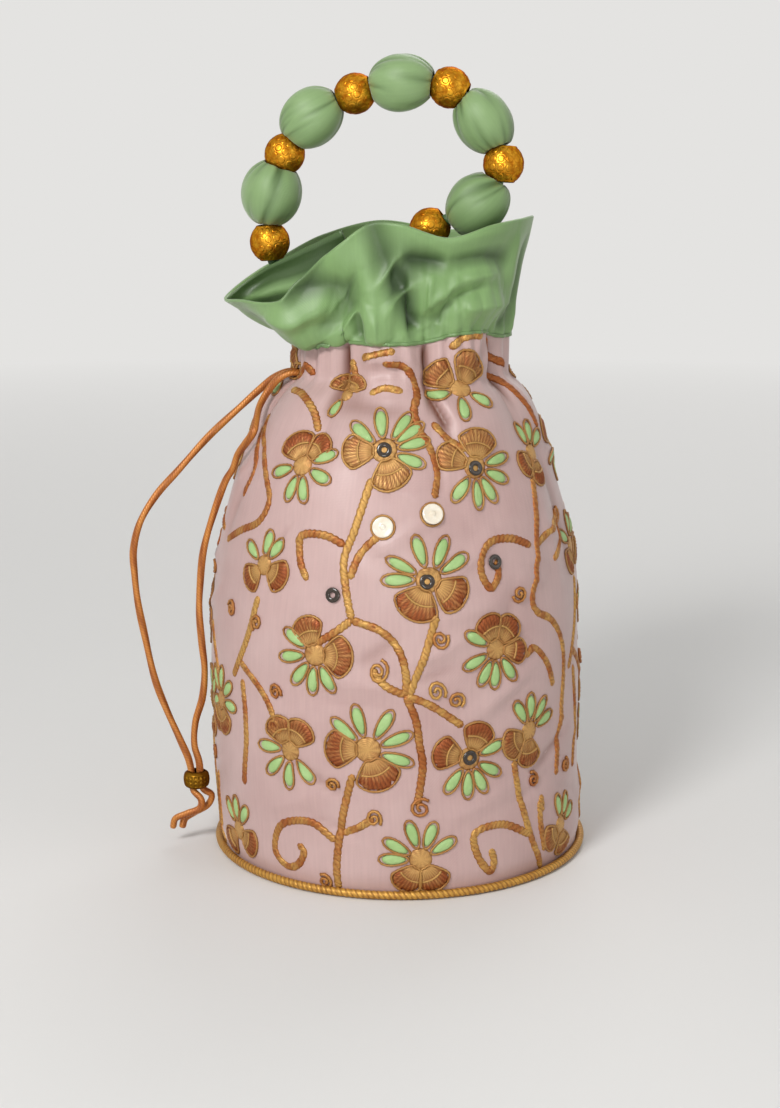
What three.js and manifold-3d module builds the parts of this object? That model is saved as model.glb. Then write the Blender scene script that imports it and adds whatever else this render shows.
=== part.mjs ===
// Potli bag: a round-based cloth pouch with a gathered neck, a satin frill, a beaded handle and a drawcord.
// Millimetres, +Z up. The origin is on the ground under the middle of the round base; the front faces -Y.

import * as THREE from 'three';
import { mergeVertices } from 'three/addons/utils/BufferGeometryUtils.js';
import Module from 'manifold-3d';

const wasm = await Module();
wasm.setup();

// Clearances
const seamGap = 0.3;
const liningGap = 0.6;
const beadSeatGap = 0.35;
const facetAllowance = 1.05; // a faceted ball that takes in a round one of the stated radius
const sewnGap = 0.35;

// Base
const pipingOuterRadius = 75.4;
const pipingRadius = 1.6;
const clothThickness = 1.4;
const basePanelThickness = 1.2;
const boardThickness = 2.5;
const liningThickness = 0.8;

// Body cloth, from the base seam to the neck seam
const bellySwell = 1.5;
const footBlend = 5.8;
const shoulderHeight = 85;
const neckHeight = 190;
const neckRadius = 40.2;
const neckLength = 16;
const bellyLean = 2;
const leanStart = 9;
const leanFull = 50;
const gatherCount = 8;
const gatherDepth = 2.6;
const gatherCrest = 306;
const gatherLength = 40;
const liningTaper = 70;

// Frill above the neck seam
const frillThickness = 1.3;
const frillFoldCount = 10;
const frillFoldDepth = 3.2;
const frillRise = 45;
const frillReach = 68;
const droopDepth = 11;
const droopAngle = 228;
const droopSpread = 42;

// Drawcord and its stopper bead
const drawcordDiameter = 3;
const channelAboveNeck = 4.5;
const slotWidth = 10;
const slotHeight = 5;
const slotAngle = 190;
const slotAboveNeck = 1.5;
const stopperRadius = 5.4;
const stopperHeight = 7.6;

// Beaded handle
const coreRadius = 2.4;
const goldBeadRadius = 8;
const goldBoreRadius = 3.5;
const goldCollarWidth = 0.8;
const goldCollarHeight = 6.9;
const coveredRadius = 12.3;
const coveredHalfLength = 13;
const nestDepth = 2.8;
const sewnLength = 7;

// Sewn-on sequins and ring beads
const pearlRadius = 3.9;
const pearlThickness = 1.3;
const ringBeadRadius = 2.9;
const ringBeadThickness = 1.7;

// Mesh fineness
const wallColumns = 56;
const liningColumns = 24;
const discColumns = 32;
const pipingColumns = 44;
const beadColumns = 10;
const trimColumns = 8;
const strandSteps = 32;
const channelSteps = 28;
const handleSteps = 38;

const bag = new THREE.Group();

// Materials
const finish = (color, roughness, metalness = 0) => ({ color, roughness, metalness });
const pinkSatin = finish(0xb8a09e, 0.55);
const greenSatin = finish(0x6e9c66, 0.4);
const darkGreenSatin = finish(0x2f5226, 0.5);
const plainCotton = finish(0x8fae86, 0.8);
const card = finish(0xa89f8d, 0.9);
const goldCord = finish(0xb98a3a, 0.45, 0.4);
const copperCord = finish(0xb46a26, 0.4);
const antiqueGold = finish(0xb8801c, 0.35, 0.9);
const antiqueBrass = finish(0x6e4c12, 0.5, 0.7);
const pearl = finish(0xf4efe4, 0.25);
const darkGlaze = finish(0x2d1e0a, 0.3);

// Adds one named piece to the bag.
function addPiece(name, geometry, look) {
  const mesh = new THREE.Mesh(geometry, new THREE.MeshStandardMaterial(look));
  mesh.name = name;
  bag.add(mesh);
  return mesh;
}

// Closed meshes, joins and cuts
function shared(geometry) {
  const bare = geometry.clone();
  bare.deleteAttribute('normal');
  bare.deleteAttribute('uv');
  return mergeVertices(bare, 1e-4);
}

function toSolid(geometry) {
  const merged = shared(geometry);
  return new wasm.Manifold(new wasm.Mesh({
    numProp: 3,
    vertProperties: new Float32Array(merged.attributes.position.array),
    triVerts: new Uint32Array(merged.index.array),
  }));
}

function toGeometry(solid) {
  const mesh = solid.getMesh();
  const geometry = new THREE.BufferGeometry();
  geometry.setAttribute('position', new THREE.BufferAttribute(new Float32Array(mesh.vertProperties), 3));
  geometry.setIndex(new THREE.BufferAttribute(new Uint32Array(mesh.triVerts), 1));
  geometry.computeVertexNormals();
  return geometry;
}

function cut(geometry, ...tools) {
  return toGeometry(tools.reduce((solid, tool) => solid.subtract(toSolid(tool)), toSolid(geometry)));
}

// A closed cloth wall between an outer and an inner face, each given as a function of the angle and the row.
function clothWall(outer, inner, columns, rows) {
  const positions = [];
  const indices = [];
  for (const face of [outer, inner]) {
    for (let row = 0; row <= rows; row += 1) {
      for (let column = 0; column < columns; column += 1) {
        const point = face((column / columns) * 2 * Math.PI, row / rows);
        positions.push(point.x, point.y, point.z);
      }
    }
  }
  const innerStart = (rows + 1) * columns;
  const at = (start, row, column) => start + row * columns + (column % columns);
  const quad = (a, b, c, d) => indices.push(a, b, c, a, c, d);
  for (let column = 0; column < columns; column += 1) {
    const next = column + 1;
    for (let row = 0; row < rows; row += 1) {
      quad(at(0, row, column), at(0, row, next), at(0, row + 1, next), at(0, row + 1, column));
      quad(
        at(innerStart, row, next), at(innerStart, row, column),
        at(innerStart, row + 1, column), at(innerStart, row + 1, next),
      );
    }
    quad(at(0, rows, column), at(0, rows, next), at(innerStart, rows, next), at(innerStart, rows, column));
    quad(at(innerStart, 0, column), at(innerStart, 0, next), at(0, 0, next), at(0, 0, column));
  }
  const geometry = new THREE.BufferGeometry();
  geometry.setAttribute('position', new THREE.Float32BufferAttribute(positions, 3));
  geometry.setIndex(indices);
  geometry.computeVertexNormals();
  return geometry;
}

// A round cord along a smooth line through the given points.
function cordAlong(points, radius, sides, steps) {
  const section = new THREE.Shape();
  for (let side = 0; side < sides; side += 1) {
    const angle = (side / sides) * 2 * Math.PI;
    const corner = [radius * Math.cos(angle), radius * Math.sin(angle)];
    if (side === 0) {
      section.moveTo(...corner);
    } else {
      section.lineTo(...corner);
    }
  }
  section.closePath();
  const path = new THREE.CatmullRomCurve3(points.map((point) => new THREE.Vector3(...point)));
  return new THREE.ExtrudeGeometry(section, { steps, bevelEnabled: false, extrudePath: path });
}

const smooth = THREE.MathUtils.smoothstep;
const mix = THREE.MathUtils.lerp;
const radians = THREE.MathUtils.degToRad;

// Body surface: a straight-sided drum that rounds over its shoulder into the gathered neck
const seamHeight = neckHeight + neckLength;
const wallFootRadius = pipingOuterRadius - 2 * pipingRadius - seamGap;
const bellyRadius = wallFootRadius + bellySwell;
const footTop = 2 * pipingRadius + footBlend;

function bodyRadius(z) {
  if (z < shoulderHeight) {
    return mix(wallFootRadius, bellyRadius, smooth(z, 2 * pipingRadius, footTop));
  }
  const rise = Math.min(1, (z - shoulderHeight) / (neckHeight - shoulderHeight));
  return neckRadius + (bellyRadius - neckRadius) * (1 - rise ** 1.8) ** 0.65;
}

function bodyCentre(z) {
  return -bellyLean * smooth(z, leanStart, leanFull) * (1 - smooth(z, neckHeight - gatherLength, neckHeight));
}

function gather(angle, z) {
  const depth = gatherDepth * smooth(z, neckHeight - gatherLength, neckHeight);
  const turn = angle - radians(gatherCrest);
  return depth * (0.75 * Math.cos(gatherCount * turn) + 0.25 * Math.cos(2 * gatherCount * turn + 0.8));
}

function bodyPoint(angle, z, inset = 0) {
  const radius = bodyRadius(z) + gather(angle, z) - inset;
  return new THREE.Vector3(bodyCentre(z) + radius * Math.cos(angle), radius * Math.sin(angle), z);
}

// Rows lie closer together over the shoulder and the gathers.
const shoulderShares = [0, 0.3, 0.5, 0.68, 0.82, 0.93, 1];
const shoulderRows = shoulderShares.map((share) => mix(shoulderHeight, neckHeight, share));
const bodyRows = [seamGap, 2 * pipingRadius + 0.2, footTop, leanFull, ...shoulderRows, seamHeight];
const bodyRow = (share) => bodyRows[Math.round(share * (bodyRows.length - 1))];

// Slot where both ends of the drawcord leave the channel
const slotBlock = new THREE.BoxGeometry(0.6 * neckRadius, slotWidth, slotHeight);
slotBlock.rotateZ(radians(slotAngle));
const slotDirection = new THREE.Vector3(Math.cos(radians(slotAngle)), Math.sin(radians(slotAngle)), 0);
const slotLevel = neckHeight + slotAboveNeck;
const slotCentre = slotDirection.clone().multiplyScalar(bodyRadius(slotLevel)).setZ(slotLevel);
slotBlock.translate(slotCentre.x, slotCentre.y, slotCentre.z);

const bodyWall = clothWall(
  (angle, share) => bodyPoint(angle, bodyRow(share)),
  (angle, share) => bodyPoint(angle, bodyRow(share), clothThickness),
  wallColumns,
  bodyRows.length - 1,
);
addPiece('body_cloth', cut(bodyWall, slotBlock), pinkSatin);

// Base: cloth disc, card stiffener above it, and the gold piping round the seam
const basePanelRadius = wallFootRadius - clothThickness - seamGap;
const boardBottom = basePanelThickness + seamGap;

function disc(radius, thickness, bottom) {
  const geometry = new THREE.CylinderGeometry(radius, radius, thickness, discColumns);
  geometry.rotateX(Math.PI / 2);
  geometry.translate(0, 0, bottom + thickness / 2);
  return geometry;
}

addPiece('base_panel', disc(basePanelRadius, basePanelThickness, 0), pinkSatin);
addPiece('base_board', disc(basePanelRadius, boardThickness, boardBottom), card);

const pipingRing = new THREE.TorusGeometry(pipingOuterRadius - pipingRadius, pipingRadius, 6, pipingColumns);
addPiece('base_piping', pipingRing, goldCord).position.z = pipingRadius + seamGap;

// Lining: a plain cloth cup inside the body, narrow at the neck to leave the drawcord its channel
const channelInset = clothThickness + gatherDepth + 2 * seamGap + drawcordDiameter;
const bellyInset = clothThickness + liningGap;
const liningFloor = boardBottom + boardThickness + seamGap;

function liningRadius(z) {
  const inset = mix(bellyInset, channelInset, smooth(z, neckHeight - liningTaper, neckHeight));
  return bodyRadius(z) - inset;
}

const liningHeights = [
  liningFloor, footTop, leanFull, ...[0, 2, 4, 5, 6].map((row) => shoulderRows[row]), seamHeight - seamGap,
];

function liningProfile() {
  const wall = liningHeights.map((z) => new THREE.Vector3(liningRadius(z), 0, z));
  wall[0].x = basePanelRadius - seamGap;
  const inside = wall.map((point) => new THREE.Vector3(point.x - liningThickness, 0, point.z)).reverse();
  inside[inside.length - 1].z += liningThickness;
  const under = new THREE.Vector3(0, 0, liningFloor);
  const upper = new THREE.Vector3(0, 0, liningFloor + liningThickness);
  return [under, ...wall, ...inside, upper];
}

// LatheGeometry turns about Y, so the profile is drawn in its X-Y plane and the cup is then stood up.
function turned(profile, columns) {
  const outline = profile.map((point) => new THREE.Vector2(point.x, point.z));
  const geometry = new THREE.LatheGeometry(outline, columns);
  geometry.rotateX(Math.PI / 2);
  return geometry;
}

const liningCup = turned(liningProfile(), liningColumns);
const liningPoints = liningCup.attributes.position;
for (let i = 0; i < liningPoints.count; i += 1) {
  liningPoints.setX(i, liningPoints.getX(i) + bodyCentre(liningPoints.getZ(i)));
}
addPiece('lining', liningCup, plainCotton);

// Frill: a doubled satin ruffle that splays low at the left and stands up at the right.
// Rim points run anticlockwise from the right, as seen from above.
// x and y are shares of the frill's reach, and z is a share of its rise.
const rimPoints = [
  [0.75, -0.06, 1], [0.65, 0.38, 0.91], [0.29, 0.62, 0.82], [-0.12, 0.65, 0.9], [-0.46, 0.56, 0.78],
  [-0.68, 0.41, 0.62], [-0.85, 0.21, 0.48], [-1, -0.06, 0.3], [-0.87, -0.38, 0.24], [-0.62, -0.62, 0.29],
  [-0.4, -0.6, 0.58], [-0.22, -0.59, 0.84], [0, -0.63, 0.95], [0.25, -0.6, 0.86], [0.49, -0.53, 0.97],
  [0.68, -0.32, 1],
];
const atRim = ([x, y, z]) => new THREE.Vector3(x * frillReach, y * frillReach, seamHeight + z * frillRise);
const rim = new THREE.CatmullRomCurve3(rimPoints.map(atRim), true);

// The rim curve is read by angle, so that each column of the frill stays above its own gather.
const rimSamples = rim.getPoints(720);
function rimAt(angle) {
  const difference = (point) => Math.abs(Math.atan2(
    Math.sin(Math.atan2(point.y, point.x) - angle),
    Math.cos(Math.atan2(point.y, point.x) - angle),
  ));
  return rimSamples.reduce((best, point) => (difference(point) < difference(best) ? point : best));
}

function frillPoint(angle, share, inset) {
  const foot = bodyPoint(angle, seamHeight);
  const top = rimAt(angle);
  const footRadius = Math.hypot(foot.x, foot.y);
  const topRadius = Math.hypot(top.x, top.y);
  const fold = frillFoldDepth * Math.sin(Math.PI * share * 0.8) * Math.cos(frillFoldCount * angle + 2);
  const radius = mix(footRadius, topRadius, share ** 0.85) + fold - inset;
  const away = THREE.MathUtils.euclideanModulo(angle - radians(droopAngle) + Math.PI, 2 * Math.PI) - Math.PI;
  const droop = droopDepth * Math.exp(-((away / radians(droopSpread)) ** 2)) * Math.sin(Math.PI * share);
  const z = mix(seamHeight + seamGap, top.z, share ** 1.15) - droop;
  return new THREE.Vector3(radius * Math.cos(angle), radius * Math.sin(angle), z);
}

// Across a low, splayed stretch the cloth is thicker measured sideways than it is measured through.
function frillInset(angle, share) {
  const top = rimAt(angle);
  const run = Math.hypot(top.x, top.y) - neckRadius;
  const rise = top.z - seamHeight;
  return frillThickness * Math.hypot(run * share, rise) / rise;
}

addPiece('frill', clothWall(
  (angle, share) => frillPoint(angle, share, 0),
  (angle, share) => frillPoint(angle, share, frillInset(angle, share)),
  wallColumns,
  5,
), greenSatin);

// Drawcord: one cord runs round inside the channel, and both its ends come out of the slot.
const channelHeight = neckHeight + channelAboveNeck;
const channelRadius = liningRadius(channelHeight) + seamGap + drawcordDiameter / 2;
const cordRadius = drawcordDiameter / 2;
const slotExit = (side, out) => {
  const across = new THREE.Vector3(-slotDirection.y, slotDirection.x, 0);
  const point = slotCentre.clone().addScaledVector(across, side * 1.9).addScaledVector(slotDirection, out);
  return [point.x, point.y, point.z];
};
const channelPoints = [slotExit(-1, 0), slotExit(-1, -3.5), slotExit(-1.2, -5)];
for (let degrees = slotAngle - 20; degrees >= slotAngle - 340; degrees -= 20) {
  const angle = radians(degrees);
  channelPoints.push([channelRadius * Math.cos(angle), channelRadius * Math.sin(angle), channelHeight]);
}
channelPoints.push(slotExit(1.2, -5), slotExit(1, -3.5), slotExit(1, 0));
addPiece('channel_cord', cordAlong(channelPoints, cordRadius, 8, channelSteps), copperCord);

// Both free strands go out over the shoulder, down through the stopper bead and end in the short tail.
const outerStrand = [
  slotExit(-1, seamGap), slotExit(-1, 4), [-49.5, -4.2, 188.8], [-55.2, -3.2, 184], [-61.3, -3, 178.5],
  [-74.4, -5, 166.6], [-86.8, -8, 153.2], [-95.8, -10, 143.2], [-102.2, -12, 132.6], [-105, -12, 121.5],
  [-104.8, -12, 112], [-103.8, -12, 100.5], [-101.4, -12, 87], [-97.8, -12, 69], [-93.5, -12, 56.5],
  [-88.4, -12, 44], [-84.9, -12, 35], [-83.7, -12, 27], [-83.3, -12.6, 22.6], [-80.2, -13.8, 19.2],
  [-80.6, -14, 15.6], [-86.2, -13.6, 13], [-90.8, -13.2, 10.8], [-91.8, -13, 7.4],
];
const innerStrand = [
  slotExit(1, seamGap), slotExit(1, 3.5), [-47, -9.6, 189.4], [-51.2, -9.2, 184.6], [-54.4, -12.4, 179.2],
  [-55.5, -19.3, 174.4], [-56.3, -23.2, 170.6], [-59.9, -20.2, 165.2], [-62.9, -16.2, 160.7],
  [-65.4, -13.4, 154.2], [-68.2, -12, 149.6], [-72.8, -12, 137.4], [-77.4, -12, 121.7], [-79, -12, 108],
  [-79.6, -12, 97], [-78.8, -12, 84], [-77.9, -12, 73], [-79, -12, 61.5], [-82, -12, 51], [-82.6, -12, 41.5],
  [-80.9, -12, 34.6], [-80.3, -12, 27], [-79.3, -11.4, 22.8], [-76.2, -10.4, 20], [-77.6, -10.2, 16],
  [-83.2, -10.2, 12.6], [-87.2, -10.6, 10], [-88.2, -11, 6.8],
];
addPiece('draw_strand_outer', cordAlong(outerStrand, cordRadius, 8, strandSteps), copperCord);
addPiece('draw_strand_inner', cordAlong(innerStrand, cordRadius, 8, strandSteps), copperCord);

const stopper = turned([
  [0, -0.5], [0.62, -0.5], [0.92, -0.28], [1, 0], [0.92, 0.28], [0.62, 0.5], [0, 0.5],
].map(([r, h]) => new THREE.Vector3(r * stopperRadius, 0, h * stopperHeight)), 16);
const stopperPlace = new THREE.Vector3(-82, -12, 27.4);
const boreTools = [outerStrand, innerStrand].map((strand) => {
  const tool = cordAlong(strand, cordRadius + seamGap, 8, strandSteps);
  tool.translate(-stopperPlace.x, -stopperPlace.y, -stopperPlace.z);
  return tool;
});
addPiece('stopper_bead', cut(stopper, ...boreTools), antiqueBrass).position.copy(stopperPlace);

// Handle: a satin tube threaded through gold beads and cloth-covered beads, both ends sewn inside the neck.
// The line runs from the left end, over the top, and curls down into the mouth at the right.
const sewnRadius = liningRadius(seamHeight) - liningThickness - seamGap - coreRadius;
const sewnEnd = (degrees, aboveSeam) => [
  sewnRadius * Math.cos(radians(degrees)), sewnRadius * Math.sin(radians(degrees)), seamHeight + aboveSeam,
];

// Points on the handle are counted in bead pitches from the middle of the neck seam.
const beadPitch = goldBeadRadius + coveredHalfLength - nestDepth;
const onHandle = ([x, y, z]) => [x * beadPitch, y * beadPitch, seamHeight + z * beadPitch];
const beadCentres = [
  [-2.78, 0.11, 1.92], [-2.73, 0.11, 2.95], [-2.44, 0.06, 3.76], [-1.86, 0, 4.51], [-0.95, -0.11, 5.01],
  [0.03, -0.28, 5.24], [1.02, -0.44, 5.13], [1.73, -0.55, 4.45], [2.14, -0.66, 3.58], [1.62, -0.66, 2.73],
  [0.62, -0.5, 2.25],
].map(onHandle);
const leftRise = [[-1.98, 0.16, 0.5], [-2.53, 0.14, 1.1]].map(onHandle);
const rightCurl = [[0.16, -0.5, 1.76], [0.13, -0.74, 1.15], [0.44, -1.1, 0.5]].map(onHandle);
const handlePoints = [
  sewnEnd(174, -sewnLength), sewnEnd(174, 1), ...leftRise,
  ...beadCentres,
  ...rightCurl, sewnEnd(-63, 0), sewnEnd(-63, -sewnLength),
];
addPiece('handle_tube', cordAlong(handlePoints, coreRadius, 8, handleSteps), darkGreenSatin);

const handleLine = new THREE.CatmullRomCurve3(handlePoints.map((point) => new THREE.Vector3(...point)));
const boreLine = cordAlong(handlePoints, coreRadius + seamGap, 8, handleSteps);
const firstBead = 4;

function seatOnHandle(mesh, index) {
  const share = (firstBead + index) / (handlePoints.length - 1);
  mesh.position.set(...beadCentres[index]);
  mesh.quaternion.setFromUnitVectors(new THREE.Vector3(0, 0, 1), handleLine.getTangent(share));
  mesh.updateMatrix();
}

function boreInFrameOf(mesh) {
  return boreLine.clone().applyMatrix4(mesh.matrix.clone().invert());
}

// Gold beads: a round bead with a raised collar at each end of its bore
const goldProfile = [
  [goldBoreRadius, -goldCollarHeight], [goldBoreRadius + goldCollarWidth, -goldCollarHeight],
  ...[-42, -14, 14, 42].map((degrees) => [
    goldBeadRadius * Math.cos(radians(degrees)), goldBeadRadius * Math.sin(radians(degrees)),
  ]),
  [goldBoreRadius + goldCollarWidth, goldCollarHeight], [goldBoreRadius, goldCollarHeight],
  [goldBoreRadius, -goldCollarHeight],
].map(([r, h]) => new THREE.Vector3(r, 0, h));

// Cloth-covered beads: egg-shaped, with both ends pinched in round the neighbouring gold beads
function coveredBead(mesh, index) {
  const egg = new THREE.SphereGeometry(1, 11, 7);
  egg.rotateX(Math.PI / 2);
  egg.scale(coveredRadius, coveredRadius, coveredHalfLength);
  const toLocal = mesh.matrix.clone().invert();
  const dimples = [index - 1, index + 1].map((neighbour) => {
    const place = new THREE.Vector3(...beadCentres[neighbour]).applyMatrix4(toLocal);
    const dimple = new THREE.SphereGeometry((goldBeadRadius + beadSeatGap) * facetAllowance, 12, 8);
    dimple.translate(place.x, place.y, place.z);
    return dimple;
  });
  return cut(egg, ...dimples, boreInFrameOf(mesh));
}

beadCentres.forEach((centre, index) => {
  const number = Math.floor(index / 2) + 1;
  if (index % 2 === 0) {
    const bead = addPiece(`gold_bead_${number}`, new THREE.BufferGeometry(), antiqueGold);
    seatOnHandle(bead, index);
    bead.geometry = cut(turned(goldProfile, beadColumns), boreInFrameOf(bead));
  } else {
    const bead = addPiece(`covered_bead_${number}`, new THREE.BufferGeometry(), greenSatin);
    seatOnHandle(bead, index);
    bead.geometry = coveredBead(bead, index);
  }
});

// Sequins and ring beads sewn on at the flower centres: angle round the body and share of the neck's height
function sewnOn(name, profile, look, degrees, share) {
  const angle = radians(degrees);
  const z = share * neckHeight;
  const step = 0.02;
  const along = bodyPoint(angle + step, z).sub(bodyPoint(angle - step, z));
  const up = bodyPoint(angle, z + 1).sub(bodyPoint(angle, z - 1));
  const normal = along.cross(up).normalize();
  const piece = addPiece(name, turned(profile, trimColumns), look);
  piece.position.copy(bodyPoint(angle, z)).addScaledVector(normal, sewnGap);
  piece.quaternion.setFromUnitVectors(new THREE.Vector3(0, 0, 1), normal);
}

const pearlProfile = [
  [0, 0], [1, 0], [0.96, 0.8], [0.75, 0.7], [0, 1],
].map(([r, h]) => new THREE.Vector3(r * pearlRadius, 0, h * pearlThickness));
const ringBeadProfile = [
  [0.34, 0], [0.9, 0], [1, 0.5], [0.7, 1], [0.34, 0.6], [0.34, 0],
].map(([r, h]) => new THREE.Vector3(r * ringBeadRadius, 0, h * ringBeadThickness));

const pearlPlaces = [[266, 0.747], [282, 0.77]];
const ringBeadPlaces = [
  [264.9, 0.89], [279.5, 0.643], [251.1, 0.614], [298.9, 0.85], [302, 0.67], [292.1, 0.287],
];
pearlPlaces.forEach(([degrees, share], i) => {
  sewnOn(`pearl_sequin_${i + 1}`, pearlProfile, pearl, degrees, share);
});
ringBeadPlaces.forEach(([degrees, share], i) => {
  sewnOn(`ring_bead_${i + 1}`, ringBeadProfile, darkGlaze, degrees, share);
});

export default bag;
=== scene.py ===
import math

import bpy
import numpy as np
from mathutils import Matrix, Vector


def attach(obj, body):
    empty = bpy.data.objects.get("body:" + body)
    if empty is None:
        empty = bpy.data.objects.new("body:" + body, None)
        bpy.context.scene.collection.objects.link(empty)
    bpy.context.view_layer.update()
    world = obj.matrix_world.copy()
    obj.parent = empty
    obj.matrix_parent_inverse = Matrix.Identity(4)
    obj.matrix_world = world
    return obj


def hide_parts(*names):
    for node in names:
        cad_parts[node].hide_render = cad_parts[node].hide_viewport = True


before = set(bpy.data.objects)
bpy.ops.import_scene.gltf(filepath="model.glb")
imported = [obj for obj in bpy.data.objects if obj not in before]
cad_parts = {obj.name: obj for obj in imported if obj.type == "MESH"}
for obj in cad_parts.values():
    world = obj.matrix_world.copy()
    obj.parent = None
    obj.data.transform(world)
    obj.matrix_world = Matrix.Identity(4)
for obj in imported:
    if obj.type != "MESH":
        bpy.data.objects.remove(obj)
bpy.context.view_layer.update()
mm = 0.001  # sizes below are in millimetres, angles in degrees

scene = bpy.context.scene
scene.view_settings.view_transform = "Standard"


# Numbers and lines

def smooth(value, low, high):
    share = np.clip((value - low) / (high - low), 0, 1)
    return share * share * (3 - 2 * share)


def mix(a, b, share):
    return a + (b - a) * share


def unit(vectors):
    return vectors / np.maximum(np.linalg.norm(vectors, axis=-1, keepdims=True), 1e-9)


def turnFrom(angle, middle):
    return (angle - middle + 180) % 360 - 180


# A gentle unevenness that closes on itself round the bag.
def ripple(angle, height, seed, fineness, count=12):
    random = np.random.default_rng(seed)
    total = np.zeros(np.broadcast(angle, height).shape)
    for _ in range(count):
        turns = int(random.integers(1, fineness + 1)) * int(random.choice([-1, 1]))
        climb = random.uniform(-1, 1) * fineness / 75
        total += np.cos(turns * np.radians(angle) + climb * height + random.uniform(0, 6.28))
    return total / math.sqrt(count)


# Ridges and valleys drawn as short strokes: [angle, height, angle, height, width, lift].
def strokes(angle, height, marks, mmEachDegree, crease=2.0):
    total = np.zeros(np.broadcast(angle, height).shape)
    for angleA, heightA, angleB, heightB, width, lift in marks:
        runX, runY = (angleB - angleA) * mmEachDegree, heightB - heightA
        fromX = turnFrom(angle, angleA) * mmEachDegree
        fromY = height - heightA
        share = (fromX * runX + fromY * runY) / (runX ** 2 + runY ** 2)
        held = np.clip(share, 0, 1)
        away = np.hypot(fromX - held * runX, fromY - held * runY)
        fade = 1 - 0.75 * np.abs(2 * held - 1) ** 3
        total += lift * fade * np.exp(-(away / width) ** crease)
    return total


# A smooth line through given points, read again at even steps.
def smoothLine(points, step, closed=False):
    points = np.asarray(points, float)
    if closed:
        held = np.vstack([points[-1], points, points[:2]])
    else:
        held = np.vstack([2 * points[0] - points[1], points, 2 * points[-1] - points[-2]])
    knots = np.concatenate([[0], np.cumsum(np.linalg.norm(np.diff(held, axis=0), axis=1) ** 0.5)])
    line = []
    for i in range(1, len(held) - 2):
        (a, b, c, d), (ta, tb, tc, td) = held[i - 1:i + 3], knots[i - 1:i + 3]
        t = np.linspace(tb, tc, 24, endpoint=False)[:, None]
        ab = mix(a, b, (t - ta) / (tb - ta))
        bc = mix(b, c, (t - tb) / (tc - tb))
        cd = mix(c, d, (t - tc) / (td - tc))
        line.append(mix(mix(ab, bc, (t - ta) / (tc - ta)), mix(bc, cd, (t - tb) / (td - tb)), (t - tb) / (tc - tb)))
    line = np.vstack([*line, points[:1] if closed else points[-1:]])
    return evenLine(line, step)


def lineRun(line):
    return np.concatenate([[0], np.cumsum(np.linalg.norm(np.diff(line, axis=0), axis=1))])


def evenLine(line, step):
    run = lineRun(line)
    places = np.linspace(0, run[-1], max(3, int(round(run[-1] / step)) + 1))
    return np.stack([np.interp(places, run, line[:, k]) for k in range(line.shape[1])], axis=1)


# Meshes

def newHeap():
    return {"points": [], "quads": [], "caps": [], "places": [], "marks": {}, "count": 0}


# Adds rows x columns of points, joined to their neighbours. Each mark is a number for every point.
def addGrid(heap, grid, wrapColumns=False, wrapRows=False, caps=False, places=None, **marks):
    rows, columns = grid.shape[:2]
    r, c = np.meshgrid(
        np.arange(rows if wrapRows else rows - 1), np.arange(columns if wrapColumns else columns - 1), indexing="ij",
    )
    r, c = r.ravel(), c.ravel()
    r2, c2 = (r + 1) % rows, (c + 1) % columns
    quads = np.stack([r * columns + c, r * columns + c2, r2 * columns + c2, r2 * columns + c], axis=1)
    if places is None:
        places = (np.arange(columns + 1) * 1.0, np.arange(rows + 1) * 1.0)
    across, along = places
    corners = np.stack([
        np.stack([across[c], along[r]], 1), np.stack([across[c + 1], along[r]], 1),
        np.stack([across[c + 1], along[r + 1]], 1), np.stack([across[c], along[r + 1]], 1),
    ], axis=1)
    points = grid.reshape(-1, 3)
    ends = [np.arange(columns)[::-1], (rows - 1) * columns + np.arange(columns)] if caps else []
    if signedVolume(points, quads, ends) < 0:
        quads, corners = quads[:, ::-1], corners[:, ::-1]
        ends = [end[::-1] for end in ends]
    heap["points"].append(points)
    heap["quads"].append(quads + heap["count"])
    heap["caps"] += [end + heap["count"] for end in ends]
    heap["places"].append(corners.reshape(-1, 2))
    for name in set(heap["marks"]) | set(marks):
        value = np.broadcast_to(marks.get(name, 0.0), (rows, columns)).reshape(-1)
        heap["marks"].setdefault(name, [np.zeros(heap["count"])] if heap["count"] else []).append(value)
    heap["count"] += len(points)


def signedVolume(points, quads, ends):
    fans = [np.stack([np.full(len(end) - 2, end[0]), end[1:-1], end[2:]], 1) for end in ends]
    corners = np.vstack([quads[:, [0, 1, 2]], quads[:, [0, 2, 3]], *fans])
    middle = points.mean(axis=0)
    a, b, c = (points[corners[:, k]] - middle for k in range(3))
    return float(np.einsum("ij,ij->i", a, np.cross(b, c)).sum())


def heapPiece(name, heap):
    faces = np.vstack(heap["quads"]).tolist() + [cap.tolist() for cap in heap["caps"]]
    mesh = bpy.data.meshes.new(name)
    mesh.from_pydata((np.vstack(heap["points"]) * mm).tolist(), [], faces)
    layer = mesh.uv_layers.new(name="clothMap")
    places = np.zeros((len(mesh.loops), 2))
    drawn = np.vstack(heap["places"])
    places[:len(drawn)] = drawn
    layer.data.foreach_set("uv", (places * mm).astype(np.float32).ravel())
    for markName, values in heap["marks"].items():
        mark = mesh.attributes.new(markName, "FLOAT", "POINT")
        mark.data.foreach_set("value", np.concatenate(values).astype(np.float32))
    mesh.polygons.foreach_set("use_smooth", [True] * len(mesh.polygons))
    mesh.update()
    piece = bpy.data.objects.new(name, mesh)
    scene.collection.objects.link(piece)
    return piece


# A piece that is done: its finish, the body that it rides on and the CAD nodes that it stands for.
def settle(piece, look, slotName, *nodes):
    piece.data.materials.clear()
    piece.data.materials.append(look)
    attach(piece, "root")
    if nodes:
        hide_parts(*nodes)
    return piece


def pick(piece):
    bpy.ops.object.select_all(action="DESELECT")
    piece.select_set(True)
    bpy.context.view_layer.objects.active = piece


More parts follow.
